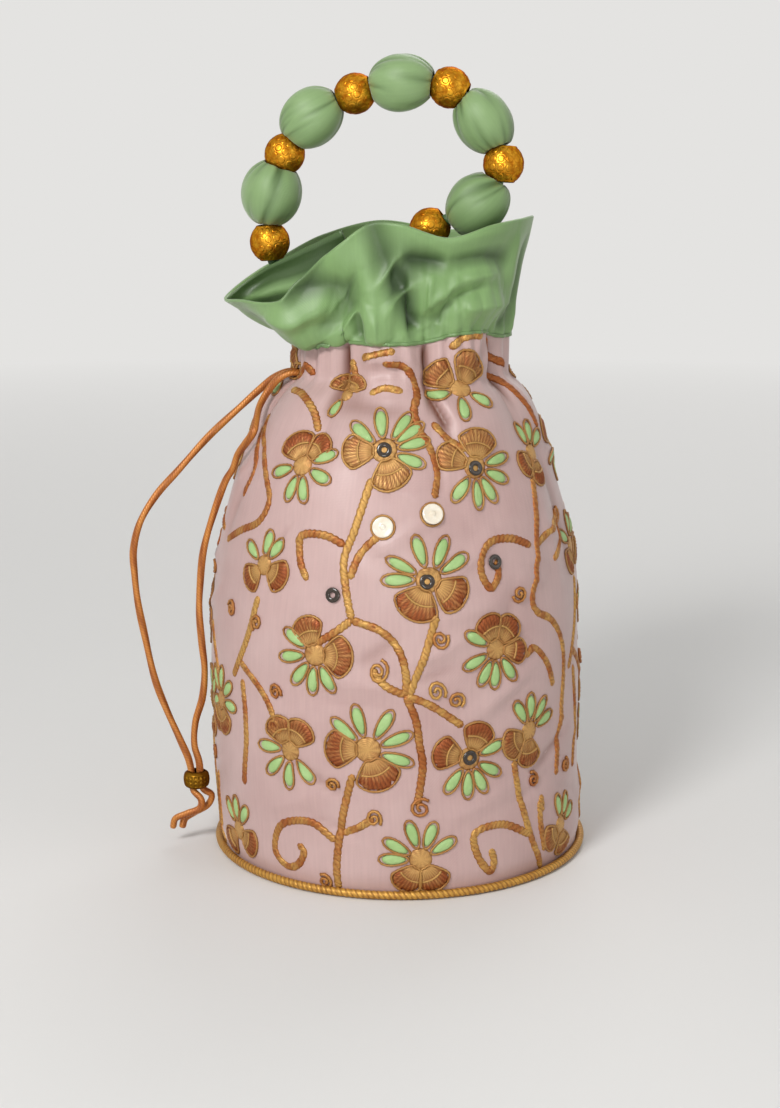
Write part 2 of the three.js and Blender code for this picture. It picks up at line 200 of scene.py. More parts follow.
def applied(piece, kind, **settings):
    pick(piece)
    modifier = piece.modifiers.new(kind.lower(), kind)
    for key, value in settings.items():
        setattr(modifier, key, value)
    bpy.ops.object.modifier_apply(modifier=modifier.name)


# Frames that follow a line in space without twisting.
def lineFrames(line):
    ahead = unit(np.gradient(line, axis=0))
    side = np.zeros_like(line)
    start = np.cross(ahead[0], [0, 0, 1])
    if np.linalg.norm(start) < 0.2:
        start = np.cross(ahead[0], [0, 1, 0])
    side[0] = start / np.linalg.norm(start)
    for i in range(1, len(line)):
        carried = side[i - 1] - ahead[i] * np.dot(side[i - 1], ahead[i])
        side[i] = carried / np.linalg.norm(carried)
    return ahead, side, np.cross(ahead, side)


# A tube along a line. The radius is a number for each step and side; rounded ends close it.
def addTube(heap, line, radius, sides, flat=1.0, **marks):
    ahead, side, up = lineFrames(line)
    around = np.arange(sides) / sides * 2 * math.pi
    radius = np.broadcast_to(radius, (len(line), sides))
    ring = (
        side[:, None, :] * np.cos(around)[None, :, None] + flat * up[:, None, :] * np.sin(around)[None, :, None]
    ) * radius[:, :, None]
    grid = line[:, None, :] + ring
    ends = []
    for end, sign in ((0, -1), (-1, 1)):
        caps = [line[end] + ahead[end] * sign * radius[end].mean() * rise + ring[end] * share
                for rise, share in ((0.35, 0.85), (0.5, 0.45))]
        ends.append(caps)
    grid = np.concatenate([np.array(ends[0][::-1]), grid, np.array(ends[1])])
    run = lineRun(line)
    along = np.concatenate([[run[0]] * 2, run, [run[-1]] * 3])
    wide = np.arange(sides + 1) / sides * 2 * math.pi * float(radius.mean())
    full = {}
    for name, value in marks.items():
        value = np.broadcast_to(value, (len(line), sides))
        full[name] = np.concatenate([value[:1], value[:1], value, value[-1:], value[-1:]])
    addGrid(heap, grid, wrapColumns=True, caps=True, places=(wide, along), **full)


# Materials

def tone(red, green, blue):
    return tuple(
        (v / 255 / 12.92 if v / 255 <= 0.04045 else ((v / 255 + 0.055) / 1.055) ** 2.4) for v in (red, green, blue)
    ) + (1.0,)


def newGroup(name, inputs, outputs):
    group = bpy.data.node_groups.new(name, "ShaderNodeTree")
    for inputName, kind, default in inputs:
        socket = group.interface.new_socket(inputName, in_out="INPUT", socket_type="NodeSocket" + kind)
        if default is not None:
            socket.default_value = default
    for outputName, kind in outputs:
        group.interface.new_socket(outputName, in_out="OUTPUT", socket_type="NodeSocket" + kind)
    return group, group.nodes.new("NodeGroupInput"), group.nodes.new("NodeGroupOutput")


def addNode(tree, kind, inputs=None, **settings):
    node = tree.nodes.new("ShaderNode" + kind)
    for key, value in settings.items():
        setattr(node, key, value)
    for key, value in (inputs or {}).items():
        socket = node.inputs[key]
        if isinstance(value, bpy.types.NodeSocket):
            tree.links.new(value, socket)
        else:
            socket.default_value = value
    return node


def maths(tree, operation, a, b=0.0, clamp=False):
    return addNode(tree, "Math", {0: a, 1: b}, operation=operation, use_clamp=clamp).outputs[0]


def blendColour(tree, share, a, b, kind="MIX"):
    node = tree.nodes.new("ShaderNodeMix")
    node.data_type = "RGBA"
    node.blend_type = kind
    for key, value in ((0, share), (6, a), (7, b)):
        if isinstance(value, bpy.types.NodeSocket):
            tree.links.new(value, node.inputs[key])
        else:
            node.inputs[key].default_value = value
    return node.outputs[2]


# Satin threads: long floats along the cloth crossed by fine weft lines.
def satinWeaveGroup():
    group, start, end = newGroup(
        "satinWeave", [("Map", "Vector", None), ("Threads", "Float", 11000.0), ("Slub", "Float", 0.5)],
        [("Height", "Float"), ("Shade", "Float")],
    )
    split = addNode(group, "SeparateXYZ", {0: start.outputs["Map"]})
    slant = maths(group, "ADD", split.outputs["X"], maths(group, "MULTIPLY", split.outputs["Y"], 0.42))
    warp = maths(group, "SINE", maths(group, "MULTIPLY", slant, start.outputs["Threads"]))
    weft = maths(group, "SINE", maths(group, "MULTIPLY", split.outputs["Y"], start.outputs["Threads"]))
    stretched = addNode(group, "Mapping", {"Vector": start.outputs["Map"], "Scale": (900.0, 60.0, 1.0)})
    slubs = addNode(group, "TexNoise", {"Vector": stretched.outputs[0], "Scale": 1.0, "Detail": 2.0})
    slubShare = maths(group, "MULTIPLY", maths(group, "SUBTRACT", slubs.outputs[0], 0.5), start.outputs["Slub"])
    threads = maths(group, "ADD", maths(group, "MULTIPLY", warp, 0.35), maths(group, "MULTIPLY", weft, 0.2))
    height = maths(group, "ADD", threads, maths(group, "MULTIPLY", slubShare, 1.5))
    group.links.new(height, end.inputs["Height"])
    # Shade is the slubs' own tone plus a slight painted shade that follows the height of the threads.
    shade = maths(group, "ADD", 1.0, maths(group, "ADD", slubShare, maths(group, "MULTIPLY", threads, 0.05)))
    group.links.new(shade, end.inputs["Shade"])
    return group


# Large and small blotches that shift a colour between two tones.
def mottleGroup():
    group, start, end = newGroup(
        "mottle",
        [("Place", "Vector", None), ("Tone", "Color", None), ("Other", "Color", None), ("Scale", "Float", 40.0),
         ("Contrast", "Float", 1.0)],
        [("Color", "Color"), ("Mask", "Float")],
    )
    broad = addNode(group, "TexNoise", {
        "Vector": start.outputs["Place"], "Scale": start.outputs["Scale"], "Detail": 4.0, "Roughness": 0.6,
    })
    centred = maths(group, "MULTIPLY", maths(group, "SUBTRACT", broad.outputs[0], 0.5), start.outputs["Contrast"])
    mask = maths(group, "ADD", centred, 0.5, clamp=True)
    group.links.new(blendColour(group, mask, start.outputs["Tone"], start.outputs["Other"]), end.inputs["Color"])
    group.links.new(mask, end.inputs["Mask"])
    return group


# Metallic thread: fine wraps across it, with painted shade in the grooves between the wraps.
def threadWrapGroup():
    group, start, end = newGroup(
        "threadWrap", [("Map", "Vector", None), ("Wraps", "Float", 9000.0), ("Slant", "Float", 0.6)],
        [("Height", "Float"), ("GapShade", "Float")],
    )
    split = addNode(group, "SeparateXYZ", {0: start.outputs["Map"]})
    lean = maths(group, "MULTIPLY", split.outputs["X"], start.outputs["Slant"])
    wave = maths(group, "SINE", maths(group, "MULTIPLY", maths(group, "ADD", split.outputs["Y"], lean),
                                      start.outputs["Wraps"]))
    group.links.new(wave, end.inputs["Height"])
    gap = maths(group, "MULTIPLY", maths(group, "SUBTRACT", -0.2, wave), 0.9, clamp=True)
    group.links.new(gap, end.inputs["GapShade"])
    return group


satinWeave = satinWeaveGroup()
mottle = mottleGroup()
threadWrap = threadWrapGroup()


def newLook(name):
    look = bpy.data.materials.new(name)
    look.use_nodes = True
    look.node_tree.nodes.clear()
    tree = look.node_tree
    shader = tree.nodes.new("ShaderNodeBsdfPrincipled")
    output = tree.nodes.new("ShaderNodeOutputMaterial")
    tree.links.new(shader.outputs[0], output.inputs[0])
    return look, tree, shader


def placed(tree, group, inputs):
    node = tree.nodes.new("ShaderNodeGroup")
    node.node_tree = group
    for key, value in inputs.items():
        if isinstance(value, bpy.types.NodeSocket):
            tree.links.new(value, node.inputs[key])
        else:
            node.inputs[key].default_value = value
    return node


def bumped(tree, shader, height, strength, distance):
    bump = addNode(tree, "Bump", {"Height": height, "Strength": strength, "Distance": distance})
    tree.links.new(bump.outputs[0], shader.inputs["Normal"])


# Satin cloth. A mark laid on the mesh says how deep in a fold a point lies; the colour is darkened there towards the
# fold tone, as painted shade.
def satinLook(name, lit, deep, foldShadeTone, rough, sheen, threads=11000.0):
    look, tree, shader = newLook(name)
    cloth = addNode(tree, "UVMap", uv_map="clothMap").outputs[0]
    place = addNode(tree, "TexCoord").outputs["Object"]
    weave = placed(tree, satinWeave, {"Map": cloth, "Threads": threads, "Slub": 0.16})
    blotch = placed(tree, mottle, {"Place": place, "Tone": lit, "Other": deep, "Scale": 22.0, "Contrast": 1.6})
    # Painted shade: the fold mark darkens the colour towards the fold tone.
    fold = addNode(tree, "Attribute", attribute_name="fold").outputs["Fac"]
    foldShaded = blendColour(tree, fold, blotch.outputs["Color"], foldShadeTone)
    shade = addNode(tree, "CombineColor", {0: weave.outputs["Shade"], 1: weave.outputs["Shade"],
                                           2: weave.outputs["Shade"]}).outputs[0]
    colour = blendColour(tree, 1.0, foldShaded, shade, "MULTIPLY")
    tree.links.new(colour, shader.inputs["Base Color"])
    gloss = maths(tree, "ADD", rough, maths(tree, "MULTIPLY", blotch.outputs["Mask"], 0.1))
    tree.links.new(gloss, shader.inputs["Roughness"])
    shader.inputs["Sheen Weight"].default_value = sheen
    shader.inputs["Sheen Roughness"].default_value = 0.4
    bumped(tree, shader, weave.outputs["Height"], 0.2, 0.00015)
    return look


# Metallic embroidery thread: the "tone" mark runs from gold (0) to copper (1); the gap mark is painted shade,
# darkening between stitches and strands and under the thread.
def threadLook(name, gold, copper, gapShadeTone, metal=0.45, rough=0.42, wraps=9000.0):
    look, tree, shader = newLook(name)
    cloth = addNode(tree, "UVMap", uv_map="clothMap").outputs[0]
    place = addNode(tree, "TexCoord").outputs["Object"]
    wrap = placed(tree, threadWrap, {"Map": cloth, "Wraps": wraps})
    toneMark = addNode(tree, "Attribute", attribute_name="tone").outputs["Fac"]
    gapShadeMark = addNode(tree, "Attribute", attribute_name="gap").outputs["Fac"]
    drift = placed(tree, mottle, {"Place": place, "Tone": (0, 0, 0, 1), "Other": (1, 1, 1, 1), "Scale": 160.0,
                                  "Contrast": 2.2})
    share = maths(tree, "ADD", toneMark, maths(tree, "MULTIPLY",
                                               maths(tree, "SUBTRACT", drift.outputs["Mask"], 0.5), 0.7), clamp=True)
    colour = blendColour(tree, share, gold, copper)
    # Painted shade: the gap mark and the wrap grooves darken the colour towards the gap tone.
    gap = maths(tree, "ADD", gapShadeMark, maths(tree, "MULTIPLY", wrap.outputs["GapShade"], 0.35), clamp=True)
    tree.links.new(blendColour(tree, gap, colour, gapShadeTone), shader.inputs["Base Color"])
    tree.links.new(maths(tree, "ADD", rough, maths(tree, "MULTIPLY", gap, 0.3)), shader.inputs["Roughness"])
    shader.inputs["Metallic"].default_value = metal
    bumped(tree, shader, wrap.outputs["Height"], 0.35, 0.0001)
    return look


# The third tone of each satin is the dark tone painted into its folds as shade.
pinkSatin = satinLook("pinkSatin", tone(200, 172, 168), tone(182, 148, 144), tone(112, 66, 48), 0.34, 0.25)
greenSatin = satinLook("greenSatin", tone(134, 166, 110), tone(112, 146, 86), tone(30, 54, 12), 0.37, 0.2)
beadSatin = satinLook("beadSatin", tone(138, 166, 114), tone(118, 148, 94), tone(42, 70, 22), 0.44, 0.3)
# The handle tube's satin is a darker copy of the green satin: painted shade for the tube inside the bag's mouth.
shadedTubeSatin = satinLook("shadedTubeSatin", tone(70, 104, 56), tone(50, 84, 40), tone(20, 44, 10), 0.45, 0.2)
liningCotton = satinLook("liningCotton", tone(150, 178, 140), tone(136, 164, 126), tone(70, 96, 58), 0.75, 0.1,
                         threads=9000.0)
# The third tone of each thread is the dark tone painted between stitches and strands as shade.
goldThread = threadLook("goldThread", tone(204, 158, 84), tone(166, 94, 40), tone(96, 48, 14))
copperThread = threadLook("copperThread", tone(208, 162, 96), tone(160, 84, 36), tone(98, 40, 12))
outlineThread = threadLook("outlineThread", tone(196, 152, 84), tone(152, 94, 42), tone(92, 54, 18), metal=0.3)
mintThread = threadLook("mintThread", tone(172, 204, 136), tone(142, 180, 106), tone(104, 134, 70), metal=0.0,
                        rough=0.4, wraps=12000.0)
drawCordLook = threadLook("drawCord", tone(206, 136, 62), tone(170, 92, 32), tone(96, 44, 12), metal=0.25,
                          rough=0.38, wraps=5200.0)
pipingThread = threadLook("pipingThread", tone(208, 158, 70), tone(158, 98, 40), tone(90, 50, 14), metal=0.5,
                          wraps=5200.0)


# Antique metal: the "recess" mark is where the dark patina stays.
def agedMetalLook(name, bright, body, patina, rough):
    look, tree, shader = newLook(name)
    place = addNode(tree, "TexCoord").outputs["Object"]
    recess = addNode(tree, "Attribute", attribute_name="recess").outputs["Fac"]
    base = placed(tree, mottle, {"Place": place, "Tone": bright, "Other": body, "Scale": 420.0, "Contrast": 2.4})
    grime = placed(tree, mottle, {"Place": place, "Tone": (0, 0, 0, 1), "Other": (1, 1, 1, 1), "Scale": 900.0,
                                  "Contrast": 2.0})
    share = maths(tree, "ADD", recess, maths(tree, "MULTIPLY",
                                             maths(tree, "SUBTRACT", grime.outputs["Mask"], 0.55), 0.5), clamp=True)
    tree.links.new(blendColour(tree, share, base.outputs["Color"], patina), shader.inputs["Base Color"])
    tree.links.new(maths(tree, "ADD", rough, maths(tree, "MULTIPLY", share, 0.3)), shader.inputs["Roughness"])
    shader.inputs["Metallic"].default_value = 0.9
    shader.inputs["Specular Tint"].default_value = tone(112, 42, 6)
    bumped(tree, shader, grime.outputs["Mask"], 0.06, 0.0002)
    return look


antiqueGold = agedMetalLook("antiqueGold", tone(228, 170, 50), tone(180, 102, 16), tone(86, 28, 3), 0.32)
antiqueBrass = agedMetalLook("antiqueBrass", tone(150, 108, 30), tone(112, 76, 18), tone(48, 26, 6), 0.38)


def plainLook(name, one, other, scale, rough, metal=0.0, coat=0.0, bump=0.1):
    look, tree, shader = newLook(name)
    place = addNode(tree, "TexCoord").outputs["Object"]
    base = placed(tree, mottle, {"Place": place, "Tone": one, "Other": other, "Scale": scale, "Contrast": 1.8})
    tree.links.new(base.outputs["Color"], shader.inputs["Base Color"])
    tree.links.new(maths(tree, "ADD", rough, maths(tree, "MULTIPLY", base.outputs["Mask"], 0.12)),
                   shader.inputs["Roughness"])
    shader.inputs["Metallic"].default_value = metal
    shader.inputs["Coat Weight"].default_value = coat
    bumped(tree, shader, base.outputs["Mask"], bump, 0.0002)
    return look


pearlLook = plainLook("pearlSequin", tone(242, 236, 222), tone(222, 208, 184), 500.0, 0.2, coat=0.5)
darkGlaze = plainLook("darkGlaze", tone(52, 34, 14), tone(26, 16, 6), 600.0, 0.18, coat=0.5)
cardLook = plainLook("cardBoard", tone(172, 160, 140), tone(146, 132, 110), 900.0, 0.85, bump=0.4)
print("materials made")


# Camera at the photograph's angle, 12.4 degrees down
camera = {"place": (-0.004, -0.812, 0.296), "tilt": 77.6, "lens": 67.58}

cameraData = bpy.data.cameras.new("camera")
cameraData.sensor_width = 36
cameraData.lens = camera["lens"]
cameraObject = bpy.data.objects.new("camera", cameraData)
cameraObject.location = camera["place"]
cameraObject.rotation_euler = (math.radians(camera["tilt"]), 0, 0)
scene.collection.objects.link(cameraObject)
scene.camera = cameraObject


# Drawcord: both free strands leave the slot at the left of the neck and meet in the stopper bead
cord = {"diameter": 3.0, "step": 0.8, "sides": 14, "twistPitch": 9.0, "twistDepth": 0.07}
outerRoute = [
    (-40.21, -5.16, 191.5), (-43.86, -5.81, 191.5), (-49.5, -4.2, 188.8), (-55.2, -3.2, 184), (-61.3, -3, 178.5),
    (-74.4, -5, 166.6), (-86.8, -8, 153.2), (-95.8, -10, 143.2), (-102.2, -12, 132.6), (-105, -12, 121.5),
    (-104.8, -12, 112), (-103.8, -12, 100.5), (-101.4, -12, 87), (-97.8, -12, 69), (-93.5, -12, 56.5),
    (-88.4, -12, 44), (-84.9, -12, 35), (-83.7, -12, 27), (-83.3, -12.6, 22.6), (-80.2, -13.8, 19.2),
    (-80.6, -14, 15.6), (-86.2, -13.6, 13), (-90.8, -13.2, 10.8), (-91.8, -13, 7.4),
]
innerRoute = [
    (-39.55, -8.90, 191.5), (-42.71, -9.46, 191.5), (-47, -9.6, 189.4), (-51.2, -9.2, 184.6), (-54.4, -12.4, 179.2),
    (-55.5, -19.3, 174.4), (-56.3, -23.2, 170.6), (-59.9, -20.2, 165.2), (-62.9, -16.2, 160.7),
    (-65.4, -13.4, 154.2), (-68.2, -12, 149.6), (-72.8, -12, 137.4), (-77.4, -12, 121.7), (-79, -12, 108),
    (-79.6, -12, 97), (-78.8, -12, 84), (-77.9, -12, 73), (-79, -12, 61.5), (-82, -12, 51), (-82.6, -12, 41.5),
    (-80.9, -12, 34.6), (-80.3, -12, 27), (-79.3, -11.4, 22.8), (-76.2, -10.4, 20), (-77.6, -10.2, 16),
    (-83.2, -10.2, 12.6), (-87.2, -10.6, 10), (-88.2, -11, 6.8),
]


# A satin cord: two soft strands laid together, with a slow twist.
def satinCord(name, route, look, slotName, *nodes):
    line = smoothLine(route, cord["step"])
    run = lineRun(line)[:, None]
    around = np.arange(cord["sides"]) / cord["sides"] * 2 * math.pi
    lay = np.cos(2 * (around[None, :] + run / cord["twistPitch"]))
    heap = newHeap()
    radius = cord["diameter"] / 2 * (1 - cord["twistDepth"] + cord["twistDepth"] * lay)
    # Painted highlight and shade: the tone is more gold on the strands' ridges and more copper in the grooves, and the
    # grooves are darkened too.
    addTube(heap, line, radius, cord["sides"], tone=0.5 - 0.25 * lay, gap=0.35 * smooth(-lay, 0.3, 1))
    piece = settle(heapPiece(name, heap), look, slotName, *nodes)
    return piece, line * mm, float(lineRun(line)[-1] * mm)


outerCord, outerLine, outerLength = satinCord("drawcordOuter", outerRoute, drawCordLook, "copper_cord",
                                              "draw_strand_outer")
innerCord, innerLine, innerLength = satinCord("drawcordInner", innerRoute, drawCordLook, "copper_cord",
                                              "draw_strand_inner")
print("drawcords laid", round(outerLength, 3), round(innerLength, 3))


# Body cloth. The radius, the lean and the eight gathers follow the CAD solid.
body = {
    "foot": 71.9, "belly": 73.4, "neck": 40.2, "shoulder": 85.0, "neckHeight": 190.0, "seam": 206.0, "lean": 2.0,
    "bottom": 0.3, "thickness": 0.9, "columns": 312, "rows": 116, "gatherDepth": 2.6, "gatherCrest": 36.0,
    "wrinkle": 0.34, "puff": 3.4, "slot": (-80.0, 191.5, 5.0, 2.3), "mmEachDegree": 1.15,
}
# Pleats and drag lines, as azimuth from the front and height: from, to, width, lift
bodyMarks = [
    (-31.2, 206, -31.5, 193, 1.9, -3.2), (-31.5, 195, -35, 180, 3.2, -1.5), (-49, 206, -52, 190, 2.2, -1.8),
    (13, 206, 14, 187, 2.2, -3.4), (14, 188, 21, 175, 2.6, -3.6), (19, 180, 24, 160, 3.6, -1.3),
    (-22, 200, 3, 202, 2.2, 1.9), (3, 202, 13, 194, 2.2, 1.7), (13, 196, 24, 178, 2.6, 1.2),
    (-20, 195.5, 4, 196, 1.7, -1.7), (-16, 191, 6, 191.5, 1.9, 1.2), (-28, 184, 7, 182, 5.0, -2.0),
    (-30, 176, -4, 173, 4.0, 1.0), (26, 199, 56, 197, 8.0, 2.2), (24, 187, 40, 183, 3.0, -1.3),
    (40, 196, 52, 203, 1.8, -1.4), (59, 206, 63, 182, 2.4, -2.6), (66, 200, 76, 176, 3.2, 1.2),
    (16, 171, 15, 150, 2.4, -1.3), (22, 168, 27, 142, 3.0, 1.0), (-10, 178, -12, 160, 3.0, 0.8),
    (6, 92, 22, 101, 2.4, 1.0), (4, 84, 18, 90, 2.6, -0.8), (10, 108, 32, 112, 2.6, 0.9),
    (-26, 86, 2, 82, 2.6, 0.9), (-26, 78, 0, 74, 3.0, -0.7), (20, 68, 44, 84, 3.5, 1.0), (28, 66, 48, 76, 3.0, -0.8),
    (-50, 60, -28, 72, 3.0, 0.8), (-42, 30, -22, 40, 3.0, 0.8), (14, 30, 36, 40, 3.2, 0.9),
    (-30, 150, -44, 128, 3.0, -0.9), (-26, 158, -40, 140, 3.0, 0.7), (40, 120, 30, 88, 3.4, -0.8),
    (-60, 168, -74, 128, 4.0, -1.2), (66, 170, 74, 120, 4.0, -1.2), (58, 150, 64, 110, 4.0, 0.8),
    (84, 140, 96, 92, 4.0, 1.1), (104, 196, 108, 158, 3.2, -2.4), (150, 200, 148, 160, 3.2, -2.6),
    (-165, 202, -160, 166, 3.2, -2.4), (-122, 200, -126, 158, 3.2, -2.4), (120, 130, 150, 96, 4.0, 1.0),
    (-150, 128, -120, 92, 4.0, 1.0), (160, 90, 190, 60, 3.5, 0.9), (-110, 110, -86, 70, 3.6, 0.9),
    (-84, 150, -92, 110, 3.4, -1.0), (128, 204, 131, 184, 2.2, -2.4), (-142, 204, -144, 186, 2.2, -2.2),
    (84, 205, 82, 186, 2.2, -2.0), (-98, 205, -102, 182, 2.2, -2.2), (-94, 210, -68, 209, 8.0, -3.4),
    (-8, 130, 30, 126, 5.0, 0.5),
]


def rawRadius(z):
    rise = np.clip((z - body["shoulder"]) / (body["neckHeight"] - body["shoulder"]), 0, 1)
    shoulder = body["neck"] + (body["belly"] - body["neck"]) * (1 - rise ** 1.8) ** 0.65
    return np.where(z < body["shoulder"], mix(body["foot"], body["belly"], smooth(z, 3.2, 9)), shoulder)


profileHeights = np.linspace(body["bottom"], body["seam"], 1500)
profileRadii = np.mean([rawRadius(profileHeights + shift) for shift in np.linspace(-2.2, 2.2, 9)], axis=0)
profileRun = np.concatenate([[0], np.cumsum(np.hypot(np.diff(profileHeights), np.diff(profileRadii)))])


def bodyGather(azimuth, z):
    turn = np.radians(turnFrom(azimuth, body["gatherCrest"]))
    crest = 2 * np.abs(np.cos(4 * turn)) ** 0.85 - 1
    small = np.cos(40 * turn + 3 * np.sin(3 * turn))
    return body["gatherDepth"] * smooth(z, 150, 190) * crest * 0.9 + 0.45 * smooth(z, 183, 200) * small


# Slack wrinkles all round, slanting both ways from where the cloth is drawn in
def slackMarks():
    random = np.random.default_rng(64)
    marks = []
    for _ in range(54):
        azimuth, z = random.uniform(-180, 180), random.uniform(14, 168)
        lean, reach = random.choice([-1, 1]) * random.uniform(0.15, 0.9), random.uniform(7, 17)
        marks.append((azimuth - reach / 1.2, z - reach * lean / 1.2, azimuth + reach / 1.2, z + reach * lean / 1.2,
                      random.uniform(1.6, 3.0), random.choice([-0.9, 1.0]) * random.uniform(0.7, 1.3)))
    return marks


bodyMarks += slackMarks()


def bodyFold(azimuth, z):
    drag = strokes(azimuth, z, bodyMarks, body["mmEachDegree"], crease=1.7)
    return bodyGather(azimuth, z) + drag + body["wrinkle"] * ripple(azimuth, z, 5, 9)


# The puffed cloth at the front right stands above the seam line.
def seamRise(azimuth):
    return body["puff"] * np.exp(-(turnFrom(azimuth, 40) / 21) ** 4)


def bodyAt(azimuth, z):
    angle = np.radians(azimuth - 90)
    radius = np.interp(z, profileHeights, profileRadii) + bodyFold(azimuth, z)
    lean = -body["lean"] * smooth(z, 9, 50) * (1 - smooth(z, 150, 190))
    height = z + seamRise(azimuth) * smooth(z, 188, 206)
    return np.stack([lean + radius * np.cos(angle), radius * np.sin(angle), height], axis=-1)


def bodyNormal(azimuth, z):
    across = bodyAt(azimuth + 0.35, z) - bodyAt(azimuth - 0.35, z)
    up = bodyAt(azimuth, z + 0.4) - bodyAt(azimuth, z - 0.4)
    return unit(np.cross(across, up))


# Rows of a cloth with thickness: up the outer face, over the top edge and down the inner face.
def clothShell(heap, outer, normals, thickness, innerRows, across, along, **marks):
    inner = (outer - normals * thickness)[innerRows][::-1]
    rim = outer[-1:] - normals[-1:] * thickness / 2 + unit(outer[-1:] - outer[-2:-1]) * thickness * 0.4
    foot = outer[:1] - normals[:1] * thickness / 2 - unit(outer[1:2] - outer[:1]) * thickness * 0.4
    grid = np.concatenate([outer, rim, inner, foot])
    innerAlong = along[innerRows][::-1]
    places = np.concatenate([along, along[-1:], innerAlong, along[:1], along[:1]])
    full = {}
    for name, value in marks.items():
        value = np.broadcast_to(value, outer.shape[:2])
        full[name] = np.concatenate([value, value[-1:], value[innerRows][::-1], value[:1]])
    addGrid(heap, grid, wrapColumns=True, wrapRows=True, places=(across, places), **full)


bodyRuns = np.linspace(0, profileRun[-1], body["rows"])
bodyHeights = np.interp(bodyRuns, profileRun, profileHeights)
bodyAzimuths = np.arange(body["columns"]) / body["columns"] * 360
azimuthGrid, heightGrid = np.meshgrid(bodyAzimuths, bodyHeights)
bodyPoints = bodyAt(azimuthGrid, heightGrid)
bodyNormals = bodyNormal(azimuthGrid, heightGrid)
keepRows = [i for i, z in enumerate(bodyHeights) if z > 180 or i % 4 == 0]
# Painted shade: the body cloth is darkened in its gathers and drag valleys, the deeper the darker.
foldDepth = 0.6 * bodyGather(azimuthGrid, heightGrid) - bodyFold(azimuthGrid, heightGrid)
foldDepth = np.clip(foldDepth - 0.45, 0, 2.6) / 2.6
bodyHeap = newHeap()
bodyAcross = np.arange(body["columns"] + 1) / body["columns"] * 2 * math.pi * body["belly"]
clothShell(bodyHeap, bodyPoints, bodyNormals, body["thickness"], keepRows, bodyAcross, bodyRuns, fold=foldDepth)
bodyCloth = heapPiece("bodyClothDrape", bodyHeap)


# The slot that the drawcord leaves by: both faces of the cloth are opened and joined round the edge.
def openSlot(piece, azimuth, z, halfWide, halfHigh):
    centre = bodyAt(np.array(azimuth * 1.0), np.array(z * 1.0))
    pick(piece)
    bpy.ops.object.mode_set(mode="EDIT")
    bpy.ops.mesh.select_mode(type="FACE")
    bpy.ops.mesh.select_all(action="DESELECT")
    bpy.ops.object.mode_set(mode="OBJECT")
    for face in piece.data.polygons:
        x, y, height = (v / mm for v in face.center)
        if math.hypot(x - centre[0], y - centre[1]) > 12:
            continue
        wide = turnFrom(math.degrees(math.atan2(y, x)) + 90, azimuth) * math.radians(1) * math.hypot(x, y)
        face.select = (wide / halfWide) ** 2 + ((height - z) / halfHigh) ** 2 < 1
    bpy.ops.object.mode_set(mode="EDIT")
    bpy.ops.mesh.delete(type="FACE")
    bpy.ops.mesh.select_mode(type="EDGE")
    bpy.ops.mesh.select_all(action="DESELECT")
    bpy.ops.mesh.select_non_manifold()
    bpy.ops.mesh.bridge_edge_loops()
    bpy.ops.object.mode_set(mode="OBJECT")


openSlot(bodyCloth, *body["slot"])
settle(bodyCloth, pinkSatin, "pink_satin", "body_cloth")
print("body cloth gathered", len(bodyCloth.data.polygons))


# Base: piping round the seam, and the cloth disc under the card
piping = {"ring": 73.8, "height": 1.9, "radius": 1.55, "steps": 900, "sides": 12, "lays": 230, "layDepth": 0.1}


def pipingCord():
    turn = np.arange(piping["steps"]) / piping["steps"] * 2 * math.pi
    around = np.arange(piping["sides"]) / piping["sides"] * 2 * math.pi
    lay = np.cos(2 * around[None, :] + piping["lays"] * turn[:, None])
    radius = piping["radius"] + piping["layDepth"] * lay
    out = piping["ring"] + radius * np.cos(around)
    grid = np.stack([
        out * np.cos(turn)[:, None], out * np.sin(turn)[:, None], piping["height"] + radius * np.sin(around),
    ], axis=-1)
    heap = newHeap()
    places = (np.arange(piping["sides"] + 1) * 0.8, np.arange(piping["steps"] + 1) * 0.51)
    # Painted highlight and shade: the tone is more gold on the ridges of the lay and more copper in the grooves, and
    # the grooves are darkened too.
    addGrid(heap, grid, wrapColumns=True, wrapRows=True, places=places, tone=0.3 - 0.25 * lay,
            gap=0.4 * smooth(-lay, 0.3, 1))
    return settle(heapPiece("basePipingCord", heap), pipingThread, "gold_cord", "base_piping")


pipingCord()


basePanel = {
    "rings": (0.05, 10, 22, 34, 46, 56, 64, 68.5, 69.8), "columns": 120, "sag": 0.12, "under": 0.15, "upper": 1.0,
}


def baseCloth():
    rings = np.array(basePanel["rings"])
    columns = basePanel["columns"]
    angle = np.arange(columns) / columns * 2 * math.pi
    sag = basePanel["sag"] * np.cos(3 * angle)[None, :] * (rings / 70)[:, None]
    x, y = rings[:, None] * np.cos(angle), rings[:, None] * np.sin(angle)
    under = np.stack([x, y, basePanel["under"] + np.abs(sag)], axis=-1)
    upper = np.stack([x, y, basePanel["upper"] + 0 * x], axis=-1)[::-1]
    heap = newHeap()
    # The whole disc is darkened a tenth of the way to the fold tone, as painted shade.
    addGrid(heap, np.concatenate([under, upper]), wrapColumns=True, caps=True,
            places=(np.arange(columns + 1) * 3.6, np.arange(19) * 8.0), fold=0.1)
    piece = settle(heapPiece("basePanelCloth", heap), pinkSatin, "pink_satin", "base_panel")


baseCloth()


# Lining: a cotton cup, drawn in at the neck
lining = {
    "columns": 96, "floor": 4.6, "top": 205.6, "thickness": 0.7, "bellyInset": 2.3, "neckInset": 7.7, "slack": 0.45,
    "floorRings": (0.05, 18, 36, 54),
}


